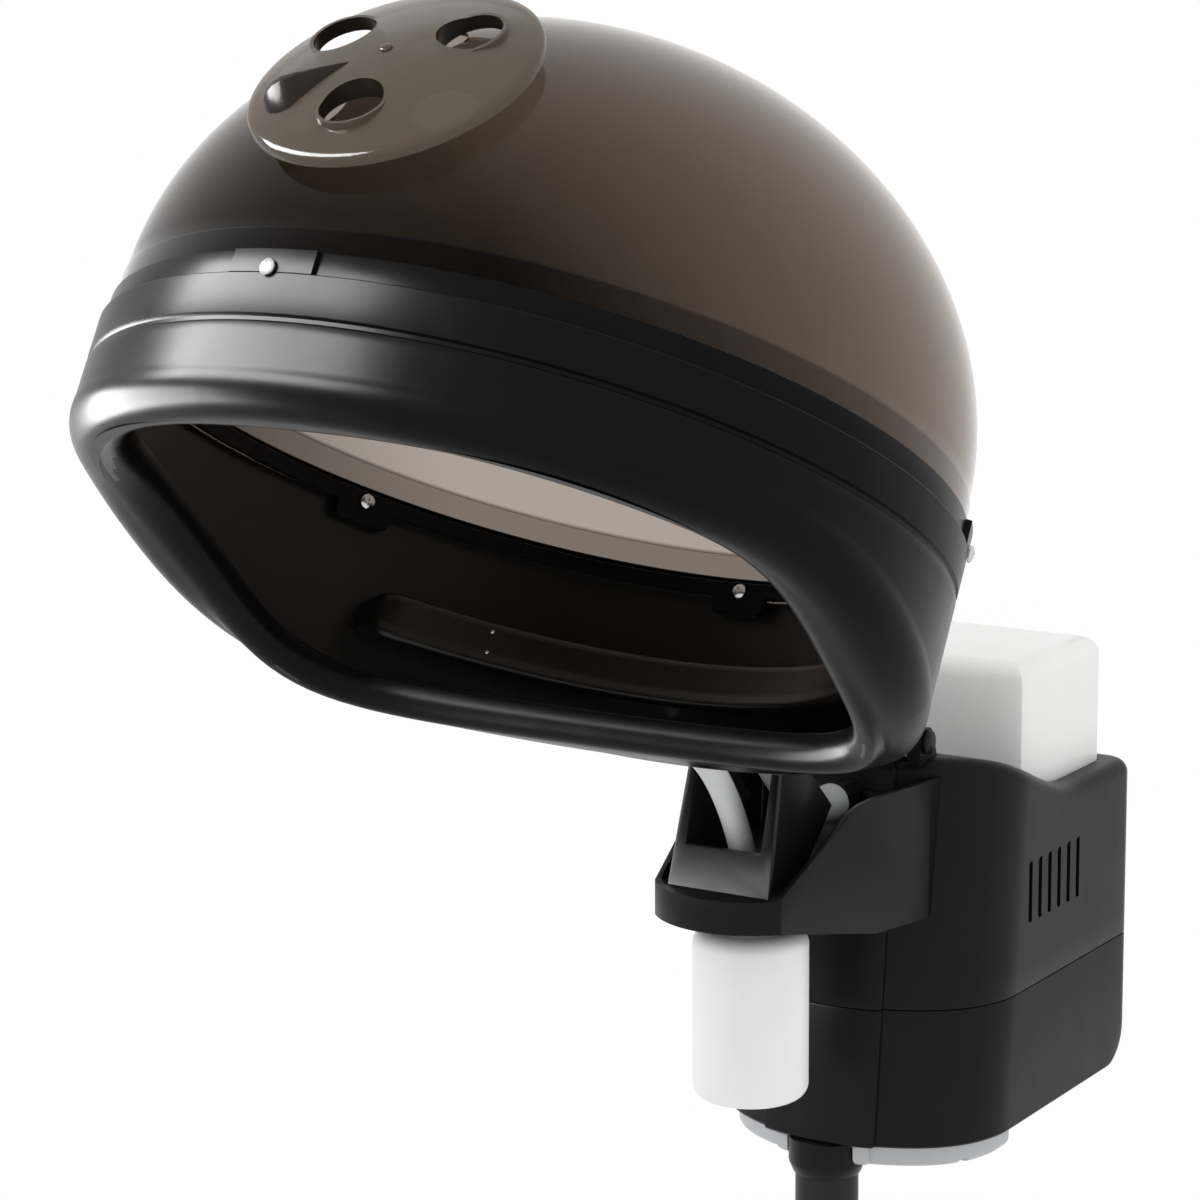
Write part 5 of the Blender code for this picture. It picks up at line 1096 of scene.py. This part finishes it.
def makeUpperHousing():
    low = housing["seam"] + housing["gap"] / 2
    wall, edge, softer, rounding = take(housing, "wall", "edge", "softer", "topRound")
    rows = [planAt(-edge, low), planAt(-softer, low + softer), planAt(0, low + edge), planAt(0, low + 12)]
    for k in range(7):
        turn = math.pi / 2 * k / 6
        rows.append(topPlan(-rounding * (1 - math.cos(turn)), rounding * (1 - math.sin(turn))))
    piece = midCapped("upperHousing", rows)
    rows = [planAt(-wall, low - 1), topPlan(-wall, rounding + wall), topPlan(-wall - 0.6 * rounding, wall)]
    room = midCapped("roomTool", rows)
    carve(room, wellBlock("wellShell", wall, tank["wellFloor"] - wall, housing["top"]))
    carve(piece, room)
    carve(piece, wellBlock("wellTool", 0, tank["wellFloor"], housing["top"] + 5))
    half, foot, head = housing["ventWidth"] / 2, housing["ventLow"], housing["ventHigh"]
    near, far = housing["half"] - housing["ventCut"], housing["half"] + housing["ventCut"]
    for k in range(housing["ventCount"]):
        y = housing["ventFirst"] + k * housing["ventPitch"]
        slot = addBlock("ventTool", (near, y - half, foot), (far, y + half, head))
        carve(piece, roundEdges(slot, runsAlong("x"), half * housing["ventRound"], 4))
    y, lug, root = hinge["y"], housing["lug"], housing["top"] - 2
    outline = bend((y, hinge["z"]), lug, 180, 0, 20) + [(y + lug + 4, root), (y - lug, root)]
    for side in (-1, 1):
        ear = sidePrism("earTool", outline, side * housing["earInner"], side * housing["earOuter"])
        carve(piece, ear, "UNION")
    settle(smooth(piece, 28.0), "head", "shell_black", "satinBlack", "upper_housing")


def makeLowerHousing():
    bottom, heel, wall, tuck = take(housing, "bottom", "heel", "wall", "tuck")
    edge, softer, heelEdge = take(housing, "edge", "softer", "heelEdge")
    top = housing["seam"] - housing["gap"] / 2
    floor = bottom + 1.0
    rows = [planAt(-wall, floor, tuck)]
    rows.append([(x, y, bottom) for x, y, _ in rows[0]])
    rows.append(planAt(-heelEdge, bottom, tuck))
    for rise in housing["heelRows"]:
        grow = -heelEdge * (1 - min(rise / heelEdge, 1.0)) ** 2
        rows.append(planAt(grow, bottom + rise, min(heelInset(bottom + rise), tuck)))
    rows += [planAt(0, top - edge), planAt(-softer, top - softer), planAt(-edge, top), planAt(-wall, top)]
    rows += [planAt(-wall, bottom + heel), planAt(-wall, floor + wall, heelInset(floor + wall))]
    piece = midCapped("lowerHousing", rows)
    settle(smooth(piece, 28.0), "head", "shell_black", "satinBlack", "lower_housing")


def makePan():
    inset, edge, neck = pan["inset"], pan["edge"], housing["wall"] + pan["fit"]
    low, top = housing["bottom"] - pan["depth"], housing["bottom"] + pan["fit"]
    ledge = housing["bottom"] - pan["ledge"]
    tuck = housing["rearY"] - pan["rear"]

    def ring(offset, height):
        return [(x, y, height) for x, y in housingPlan(offset, housing["bottom"], tuck)]

    rows = []
    for k in range(6):
        turn = math.pi / 2 * k / 5
        rows.append(ring(-inset - edge * (1 - math.sin(turn)), low + edge * (1 - math.cos(turn))))
    rows += [ring(-inset, ledge), ring(-neck, ledge), ring(-neck, top)]
    piece = midCapped("bottomPan", rows)
    under, over = low - 2, top + 2
    carve(piece, addRod("socketRoom", pan["socketRoom"], (0, 0, under), (0, 0, over), 72))
    carve(piece, addBlock("webRoom", (-pan["webHalf"], 0, under), (pan["webHalf"], pan["webRear"], over)))
    start, end = ((x, pan["notchY"], low) for x in pan["notchX"])
    carve(piece, addRod("notchTool", pan["notch"], start, end, 32))
    settle(smooth(piece, 30.0), "head", "pale_grey", "panGrey", "bottom_pan")


makeUpperHousing()
makeLowerHousing()
makePan()

print("pole and socket")
pole = {"radius": 15.875, "wall": 1.5, "low": 3.3, "top": 65.0, "gap": 0.3, "plug": 20.0, "plugRim": 3.0}
socket = {
    "outer": 19.3,
    "low": 51.3,
    "top": 69.7,
    "roof": 65.3,
    "spigotLow": 28.0,
    "webLow": (-8.0, 17.0, 57.0),
    "webHigh": (8.0, 44.0, 70.7),
    "webRound": 3.0,
}


def makePole():
    r, inner, low, top = pole["radius"], pole["radius"] - pole["wall"], pole["low"], pole["top"]
    outline = [(inner, low), (r - 0.3, low), (r, low + 0.3), (r, top), (inner, top)]
    settle(smooth(spinOutline("pole", outline, 72)), "stand", "pole_grey", "poleGrey", "pole")
    shank, rim, high = inner - pole["gap"], pole["plugRim"], pole["plug"]
    outline = [(0, 0), (r - 0.8, 0), (r - 0.2, 0.3), (r, 0.9), (r, rim), (shank, rim)]
    outline += [(shank, high - 0.6), (shank - 0.6, high), (0, high)]
    plug = smooth(spinOutline("poleEndPlug", outline, 72))
    settle(plug, "stand", "rubber_black", "rubberBlack", "pole_end_plug")


def makeSocket():
    outer, low, top, roof, foot = take(socket, "outer", "low", "top", "roof", "spigotLow")
    bore = pole["radius"] + pole["gap"]
    spigot = pole["radius"] - pole["wall"] - pole["gap"]
    outline = [(0, foot + 0.6), (spigot - 0.6, foot), (spigot, foot + 0.6), (spigot, roof), (bore, roof)]
    outline += [(bore, low + 0.3), (bore + 0.3, low), (outer - 2.6, low), (outer - 2.2, low + 0.4)]
    outline += [(outer - 0.25, low + 5.1), (outer, low + 5.9), (outer, top), (0, top)]
    piece = spinOutline("poleSocket", outline, 72)
    web = addBlock("webTool", socket["webLow"], socket["webHigh"])
    carve(piece, roundEdges(web, runsAlong("z"), socket["webRound"], 4), "UNION")
    settle(smooth(piece, 30.0), "head", "shell_black", "satinBlack", "pole_socket")


makePole()
makeSocket()

print("water tank and bottle")
bottle = {
    "y": -77.5,
    "radius": 28.0,
    "foot": 113.0,
    "footRound": 7.0,
    "shoulder": 197.0,
    "shoulderRound": 8.0,
    "shoulderEnd": 82.0,
    "mouth": 213.0,
    "neck": 15.0,
    "wall": 2.5,
}


def makeTank():
    half, front, rear, low, top = take(tank, "half", "front", "rear", "low", "top")
    piece = addBlock("waterTank", (-half, front, low), (half, rear, top))
    roundEdges(piece, runsAlong("z"), tank["corner"], 10)
    roundEdges(piece, liesAt(top), tank["edge"], 10)
    roundEdges(piece, liesAt(low), tank["footEdge"], 6)
    middle = (front + rear) / 2
    neck = addRod("neckTool", tank["neck"], (0, middle, tank["neckLow"]), (0, middle, low + 2), 48)
    carve(piece, neck, "UNION")
    spareSheen(settle(smooth(closeUp(piece), 40.0), "tank", "white", "milkWhite", "water_tank"))


def makeBottle():
    r, foot, shoulder, neck, wall = take(bottle, "radius", "foot", "shoulder", "neck", "wall")
    low, high, mouth, end = take(bottle, "footRound", "shoulderRound", "mouth", "shoulderEnd")
    footHeart, shoulderHeart = (r - low, foot + low), (r - high, shoulder - high)
    outline = [(0, foot + 1.6), (r - 12, foot + 1.2), (r - 9, foot + 0.3)]
    outline += bend(footHeart, low, -90, 0, 10) + [(r, foot + 40)]
    outline += bend(shoulderHeart, high, 0, end, 10)
    outline += [(neck + 1.4, shoulder + 0.6), (neck + 0.3, shoulder + 1.2), (neck, shoulder + 2.2)]
    outline += [(neck, mouth - 0.5), (neck - 0.5, mouth), (neck - wall, mouth)]
    outline += [(neck - wall, shoulder - wall)]
    outline += bend(shoulderHeart, high - wall, end, 0, 6)
    outline += bend(footHeart, low - wall, 0, -90, 6) + [(0, foot + 4)]
    piece = placed(spinOutline("condensateBottle", outline, 96), shift(0, bottle["y"], 0), 40.0)
    spareSheen(settle(piece, "bottle", "white", "bottleWhite", "condensate_bottle"))


makeTank()
makeBottle()

print("front bracket")
steam = {
    "x": 9.8,
    "height": -61.0,
    "length": 20.0,
    "diameter": 18.5,
    "leave": 38.0,
    "end": (9.8, -14.3, 246.0),
    "arrive": (0, 34.0, 0),
}
bracket = {
    "radius": 46.3,
    "halfAngle": 48.0,
    "centreY": -78.0,
    "rearHalf": 50.0,
    "wall": 3.0,
    "shelfLow": 206.0,
    "shelfTop": 222.0,
    "plate": 3.0,
    "plateRear": 20.0,
    "cheekTop": 256.5,
    "cheekDrops": ((-34, 0), (-40, 0.3), (-46, 0.9), (-50, 1.9), (-54, 3.4), (-57, 5), (-60, 7)),
    "cheekLows": ((-33, 17), (10, 19)),
    "straightY": 10.0,
    "stepY": 11.0,
    "step": 0.8,
    "footY": -109.0,
    "towerTop": 278.0,
    "towerLean": 15.0,
    "footHalf": 27.3,
    "topHalf": 24.3,
    "towerPlate": 3.5,
    "windowHalf": 20.5,
    "sill": 241.0,
    "reach": 40.0,
    "hoseHole": 11.0,
    "steamHole": 8.0,
    "steamRun": (-14.0, 22.0),
}


def bracketHalf(inset, rearY):
    halfAngle, radius = math.radians(bracket["halfAngle"]), bracket["radius"]
    centre, stepY, step = (0, bracket["centreY"]), bracket["stepY"], bracket["step"]
    points = sweep(centre, radius - inset, 0, halfAngle, 24)
    startX, startY = radius * math.sin(halfAngle), centre[1] - radius * math.cos(halfAngle)
    slope = (bracket["rearHalf"] - startX) / (bracket["straightY"] - startY)
    if inset == 0:
        stepX = startX + slope * (stepY - startY)
        points += [(stepX, stepY), (stepX - step, stepY + 0.1)]
    return points + [(startX + slope * (rearY - startY) - (inset or step), rearY)]


# the shelf's skirt and cheeks: a bent wall, cut to its side view
def bracketWalls(front, shelfLow, shelfTop, cheek):
    outer = bracketHalf(0, bracket["reach"])
    inner = bracketHalf(bracket["wall"], bracket["reach"])
    plan = mirrored(outer) + outer + inner[::-1] + [(-x, y) for x, y in inner[1:]]
    piece = standPrism("frontBracket", plan, shelfLow - 30, cheek + 10)
    behind = bracket["reach"] + 5
    side = [(front - 30, shelfLow), (front, shelfLow)]
    side += [(y, shelfLow - drop) for y, drop in bracket["cheekLows"]]
    side += [(behind, shelfLow - bracket["cheekLows"][-1][1]), (behind, cheek - 1)]
    side += [(y, cheek - drop) for y, drop in bracket["cheekDrops"]]
    side += [(front + 1, shelfTop + 1.5), (front - 3, shelfTop), (front - 30, shelfTop)]
    wide = bracket["rearHalf"] + 20
    return carve(piece, sidePrism("profileTool", side, -wide, wide), "INTERSECT")


# the leaning plate with its window, and a gusset behind each of its posts
def addTower(piece, front, shelfTop):
    lean, top = math.tan(math.radians(bracket["towerLean"])), bracket["towerTop"]
    foot, window = shelfTop - 1, bracket["windowHalf"]
    rows = []
    for z, wide in ((foot, bracket["footHalf"]), (top, bracket["topHalf"])):
        y = front + lean * (z - shelfTop)
        back = y + bracket["towerPlate"]
        rows.append([(-wide, y, z), (wide, y, z), (wide, back, z), (-wide, back, z)])
    tower = skinRows("towerTool", rows)
    opening = addBlock("windowTool", (-window, front - 10, bracket["sill"]), (window, front + 40, top + 5))
    carve(tower, opening)
    carve(piece, tower, "UNION")
    topY = front + lean * (top - shelfTop)
    gusset = [(front + 2, foot), (topY + 2, top - 0.4), (topY + 30, top - 4)]
    gusset += [(front + 68, shelfTop + 30), (front + 36, foot)]
    for side in (-1, 1):
        start, end = side * (window + 0.4), side * (bracket["topHalf"] - 0.4)
        carve(piece, sidePrism("gussetTool", gusset, start, end), "UNION")


# the curved plate that lies on the housing's pilaster
def addBack(piece, low, high):
    half, gap = housing["pilasterHalf"] - 3, housing["gap"]
    proud = housing["frontR"] + housing["pilasterProud"]
    rows = []
    for z in (low, high):
        near, far = (
            sweep(frontCentre(z), radius, -math.asin(half / radius), math.asin(half / radius), 16)
            for radius in (proud + gap, proud + gap + bracket["wall"])
        )
        rows.append([(x, y, z) for x, y in near + far[::-1]])
    carve(piece, skinRows("backTool", rows), "UNION")


def makeBracket():
    front, shelfLow, shelfTop, cheek = take(bracket, "footY", "shelfLow", "shelfTop", "cheekTop")
    piece = bracketWalls(front, shelfLow, shelfTop, cheek)
    half = bracketHalf(1, bracket["plateRear"])
    shelf = standPrism("shelfTool", half + mirrored(half), shelfTop - bracket["plate"], shelfTop)
    carve(piece, shelf, "UNION")
    addTower(piece, front, shelfTop)
    addBack(piece, shelfLow - 14, cheek - 8)
    gap = housing["gap"]
    clear = [planAt(gap, shelfLow - 40), planAt(gap, bracket["towerTop"] + 10)]
    carve(piece, midCapped("clearTool", clear))
    start, end = ((0, bottle["y"], z) for z in (shelfTop - 8, shelfTop + 4))
    carve(piece, addRod("hoseTool", bracket["hoseHole"], start, end, 48))
    start, end = ((steam["x"], y, steam["end"][2]) for y in bracket["steamRun"])
    carve(piece, addRod("steamTool", bracket["steamHole"], start, end, 40))
    softEdges(mergeFaces(piece, 1e-5), 0.5, 2, 40.0)
    settle(smooth(piece, 30.0), "head", "shell_black", "satinBlack", "front_bracket")


makeBracket()

print("steam manifold")
manifold = {
    "back": 186.1,
    "top": -48.0,
    "low": -72.0,
    "face": 157.0,
    "topRound": 6.0,
    "lowRound": 3.0,
    "halfAngle": 52.0,
    "endRound": 5.0,
    "slices": 104,
    "jetTurn": 212.0,
    "jetHeights": (-54.0, -64.0),
    "jetReach": 159.4,
}


def makeManifold():
    back, top, low, face = take(manifold, "back", "top", "low", "face")
    topR, lowR, half, count = take(manifold, "topRound", "lowRound", "halfAngle", "slices")
    outline = [(back, low), (back, top - 0.6), (back - 0.6, top)]
    outline += bend((face + 8, top - topR), topR, 90, 168, 8)
    outline += [(face + 2.4, low + 9), (face + 1.6, low + 7.2)]
    outline += bend((face + 2.6, low + lowR), lowR, 140, 270, 8)
    middle = (top + low) / 2
    rows = []
    for k in range(count + 1):
        part = 2 * k / count - 1
        turn = math.pi + math.radians(half) * part
        inside = min(half * (1 - abs(part)) / manifold["endRound"], 1.0)
        grow = 0.5 + 0.5 * math.sqrt(1 - (1 - inside) ** 2)
        rows.append([inHood(mix(back, r, grow), turn, mix(middle, h, grow)) for r, h in outline])
    piece = placed(skinRows("steamManifold", rows), hoodPlace, 40.0)
    settle(piece, "hood", "shell_black", "innerSheenBlack", "steam_manifold")


# a turned piece's place on the hood: its axis points out from the hood's axis, or in
def radialPlace(radius, turn, height, inward=False):
    spot = shift(*inHood(radius, math.radians(turn), height))
    return hoodPlace @ spot @ turned(turn, "Z") @ turned(-90 if inward else 90, "X")


def makeJets():
    outline = [(0, -1.5), (1.1, -1.5), (1.1, 0.1), (0.9, 0.5), (0.5, 0.75), (0, 0.85)]
    for k, height in enumerate(manifold["jetHeights"]):
        place = radialPlace(manifold["jetReach"], manifold["jetTurn"], height, True)
        piece = placed(spinOutline(f"steamJet{k + 1}", outline, 24), place, 50.0)
        settle(piece, "hood", "steel", "brightSteel")


makeManifold()
makeJets()

print("screws")
screw = {
    "shank": 2.0,
    "head": 3.7,
    "rise": 2.4,
    "cross": 4.0,
    "slit": 0.9,
    "deep": 1.2,
    "domeLength": 10.0,
    "nutLength": 1.2,
    "nutSeat": 179.05,
    "manifoldLength": 11.0,
    "manifoldTurns": {"left": 148.0, "right": 212.0},
    "manifoldHeight": -60.0,
    "armLength": 11.0,
    "armSpots": ((-17, 202.6, -22), (17, 202.6, -22), (-17, 202.6, -39), (17, 202.6, -39)),
    "bracketLength": 10.0,
    "bracketSpots": {"left": (-20, -2.87, 205), "right": (20, -2.87, 205)},
}
bowlFace = bowl["radius"] + 0.3  # what sits on the bowl is clear of it by this much
facingFront, facingBack = turned(90, "X"), turned(-90, "X")


def makeScrew(name, node, length, place, body="hood"):
    r, head, rise = take(screw, "shank", "head", "rise")
    outline = [(0, -length), (r - 0.5, -length), (r, -length + 0.7), (r, 0), (head - 0.2, 0)]
    outline += [(head, 0.2), (head, 0.7)]
    outline += [(head * math.cos(t), 0.7 + (rise - 0.7) * math.sin(t)) for t in (0.35, 0.7, 1.0, 1.25)]
    outline += [(0, rise)]
    piece = spinOutline(name, outline, 40)
    half = (screw["cross"] / 2, screw["slit"] / 2)
    for wide, tall in (half, half[::-1]):
        carve(piece, addBlock("crossTool", (-wide, -tall, rise - screw["deep"]), (wide, tall, rise + 1)))
    settle(placed(piece, place, 30.0), body, "steel", "brightSteel", node)


for k, turn in enumerate(bowl["tabTurns"], 1):
    place = radialPlace(bowlFace, turn, bowl["screwHeight"])
    makeScrew(f"domeScrew{k}", f"dome_screw_{k}", screw["domeLength"], place)
    place = radialPlace(screw["nutSeat"], turn, bowl["screwHeight"], True)
    makeScrew(f"domeNut{k}", f"dome_nut_{k}", screw["nutLength"], place)
for side, turn in screw["manifoldTurns"].items():
    place = radialPlace(bowlFace, turn, screw["manifoldHeight"])
    makeScrew(f"manifoldScrew{side.title()}", f"manifold_screw_{side}", screw["manifoldLength"], place)
for k, spot in enumerate(screw["armSpots"], 1):
    place = hoodPlace @ shift(*spot) @ facingBack
    makeScrew(f"armScrew{k}", f"arm_screw_{k}", screw["armLength"], place)
for side, spot in screw["bracketSpots"].items():
    place = shift(*spot) @ facingFront
    makeScrew(f"bracketScrew{side.title()}", f"bracket_screw_{side}", screw["bracketLength"], place, "head")

print("hoses and fittings")
drain = {
    "x": -9.0,
    "height": -78.0,
    "length": 18.0,
    "diameter": 12.5,
    "leave": 26.0,
    "end": (0, bottle["y"], 205.0),
    "arrive": (0, 4.0, -30.0),
}
hoseSkin = {"sides": 36, "steps": 40, "straight": 0.2, "gap": 0.3}


def rearPlace(fitting, out=0.0):
    return hoodPlace @ shift(fitting["x"], bowlFace + out, fitting["height"]) @ facingBack


def makeSteamInlet():
    outline = [(0, -16), (5.6, -16), (6, -15.6), (6, 0), (8.6, 0), (9, 0.4), (9, 2.6), (8.6, 3), (7.2, 4)]
    for barb in (5.0, 9.8, 14.6):
        outline += [(6.4, barb), (7, barb + 0.6), (6.5, barb + 4.4)]
    outline += [(6.2, steam["length"]), (0, steam["length"])]
    piece = placed(spinOutline("steamInlet", outline, 48), rearPlace(steam), 30.0)
    settle(piece, "hood", "shell_black", "glossBlack", "steam_inlet")


def makeDrainNipple():
    outline = [(0, -7), (3.2, -7), (3.5, -6.7), (3.5, 0), (8.1, 0), (8.5, 0.4), (8.5, 2.6), (8.1, 3)]
    outline += [(7.2, 4), (6.85, 17.5), (6.5, drain["length"]), (0, drain["length"])]
    piece = placed(spinOutline("drainNipple", outline, 48), rearPlace(drain), 30.0)
    settle(piece, "hood", "clear_blue", "nippleBlue", "drain_nipple")


# leaves the fitting straight, bends once and arrives straight; in metres
def hoseRoute(hose):
    start, end = rearPlace(hose, hose["length"] + hoseSkin["gap"]).to_translation(), inMetres(hose["end"])
    leave = (hoodPlace.to_3x3() @ Vector((0, 1, 0))) * (hose["leave"] * mm)
    arrive = inMetres(hose["arrive"])
    straight, steps = hoseSkin["straight"], hoseSkin["steps"]
    first, last = start + straight * leave, end - straight * arrive
    second, third = first + leave, last - arrive
    points = [start]
    for k in range(steps + 1):
        t = k / steps
        near = (1 - t) ** 3 * first + 3 * t * (1 - t) ** 2 * second
        points.append(near + 3 * t * t * (1 - t) * third + t**3 * last)
    return points + [end]


def makeHose(name, hose, finish, node):
    points = hoseRoute(hose)
    diameter = hose["diameter"] * mm
    turns = [2 * math.pi * k / hoseSkin["sides"] for k in range(hoseSkin["sides"])]
    side = Vector((1, 0, 0))
    rows = []
    for k, point in enumerate(points):
        run = (points[min(k + 1, len(points) - 1)] - points[max(k - 1, 0)]).normalized()
        side = (side - run * side.dot(run)).normalized()
        up = run.cross(side)
        ring = [math.cos(turn) * side + math.sin(turn) * up for turn in turns]
        rows.append([point + diameter / 2 * out for out in ring])
    piece = smooth(softEdges(skinRows(name, rows, unit=1.0), 0.5, 2, 60.0), 50.0)
    piece.data.materials.append(finishes[finish])
    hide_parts(node)
    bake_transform(piece)
    length = sum((b - a).length for a, b in zip(points, points[1:]))


makeSteamInlet()
makeDrainNipple()
makeHose("steamHose", steam, "hoseGrey", "steam_hose")
makeHose("drainHose", drain, "hoseWhite", "drain_hose")

print("knob and small fittings")
knob = {
    "place": (-76.5, 122.0, 176.0),
    "radius": 17.0,
    "height": 15.5,
    "flutes": 18,
    "flute": 1.6,
    "fluteLean": 0.96,
    "finHalf": 2.0,
    "finRise": 2.5,
}


def makeKnob():
    r, high, fin = take(knob, "radius", "height", "finHalf")
    outline = [(0, 0.6), (r - 0.3, 0.6), (r, 0.9), (r, 2.6), (r - 0.8, 3.2)]
    outline += [(r - 1.6, high - 1.2), (r - 2, high - 0.4), (r - 2.8, high), (0, high)]
    piece = spinOutline("timerKnob", outline, 96)
    for k in range(knob["flutes"]):
        turn = 2 * math.pi * k / knob["flutes"]
        x, y = (r + 0.2) * math.cos(turn), (r + 0.2) * math.sin(turn)
        end = (x * knob["fluteLean"], y * knob["fluteLean"], high + 2)
        carve(piece, addRod("fluteTool", knob["flute"], (x, y, 4), end, 16))
    grip = addBlock("finTool", (-r + 3, -fin, high - 2), (r - 3, fin, high + knob["finRise"]))
    carve(piece, softEdges(grip, 0.8, 3), "UNION")
    piece = placed(piece, shift(*knob["place"]) @ turned(-90, "Y"), 30.0)
    settle(piece, "timer", "dark_grey", "satinBlack", "timer_knob")


makeKnob()

# machined nodes whose edges are broken: the piece, its body, slot and finish, and how wide the break is
broken = {
    "hood_arm": ("hoodArm", "hood", "shell_black", "glossBlack", 0.8),
    "hinge_pin": ("hingePin", "head", "steel", "satinBlack", 0.3),
    "hinge_nut": ("hingeNut", "head", "steel", "satinBlack", 0.3),
    "friction_washer_left": ("washerLeft", "head", "rubber_black", "rubberBlack", 0.3),
    "friction_washer_right": ("washerRight", "head", "rubber_black", "rubberBlack", 0.3),
    "bottle_collar": ("bottleCollar", "head", "rubber_black", "rubberBlack", 0.3),
    "switch_body": ("switchBody", "head", "dark_grey", "satinBlack", 0.3),
    "power_rocker": ("powerRocker", "rocker", "red", "lampRed", 0.3),
    "pilot_lamp": ("pilotLamp", "head", "red", "lampRed", 0.3),
    "power_inlet": ("powerInlet", "head", "dark_grey", "satinBlack", 0.3),
    "tank_cap": ("tankCap", "cap", "pale_grey", "panGrey", 0.4),
}
for node, (name, body, slot, finish, width) in broken.items():
    piece = bpy.data.objects.new(name, nodes[node].data.copy())
    bpy.context.scene.collection.objects.link(piece)
    softEdges(mergeFaces(piece, 2e-6), width)
    settle(smooth(piece), body, slot, finish, node)

print("done")
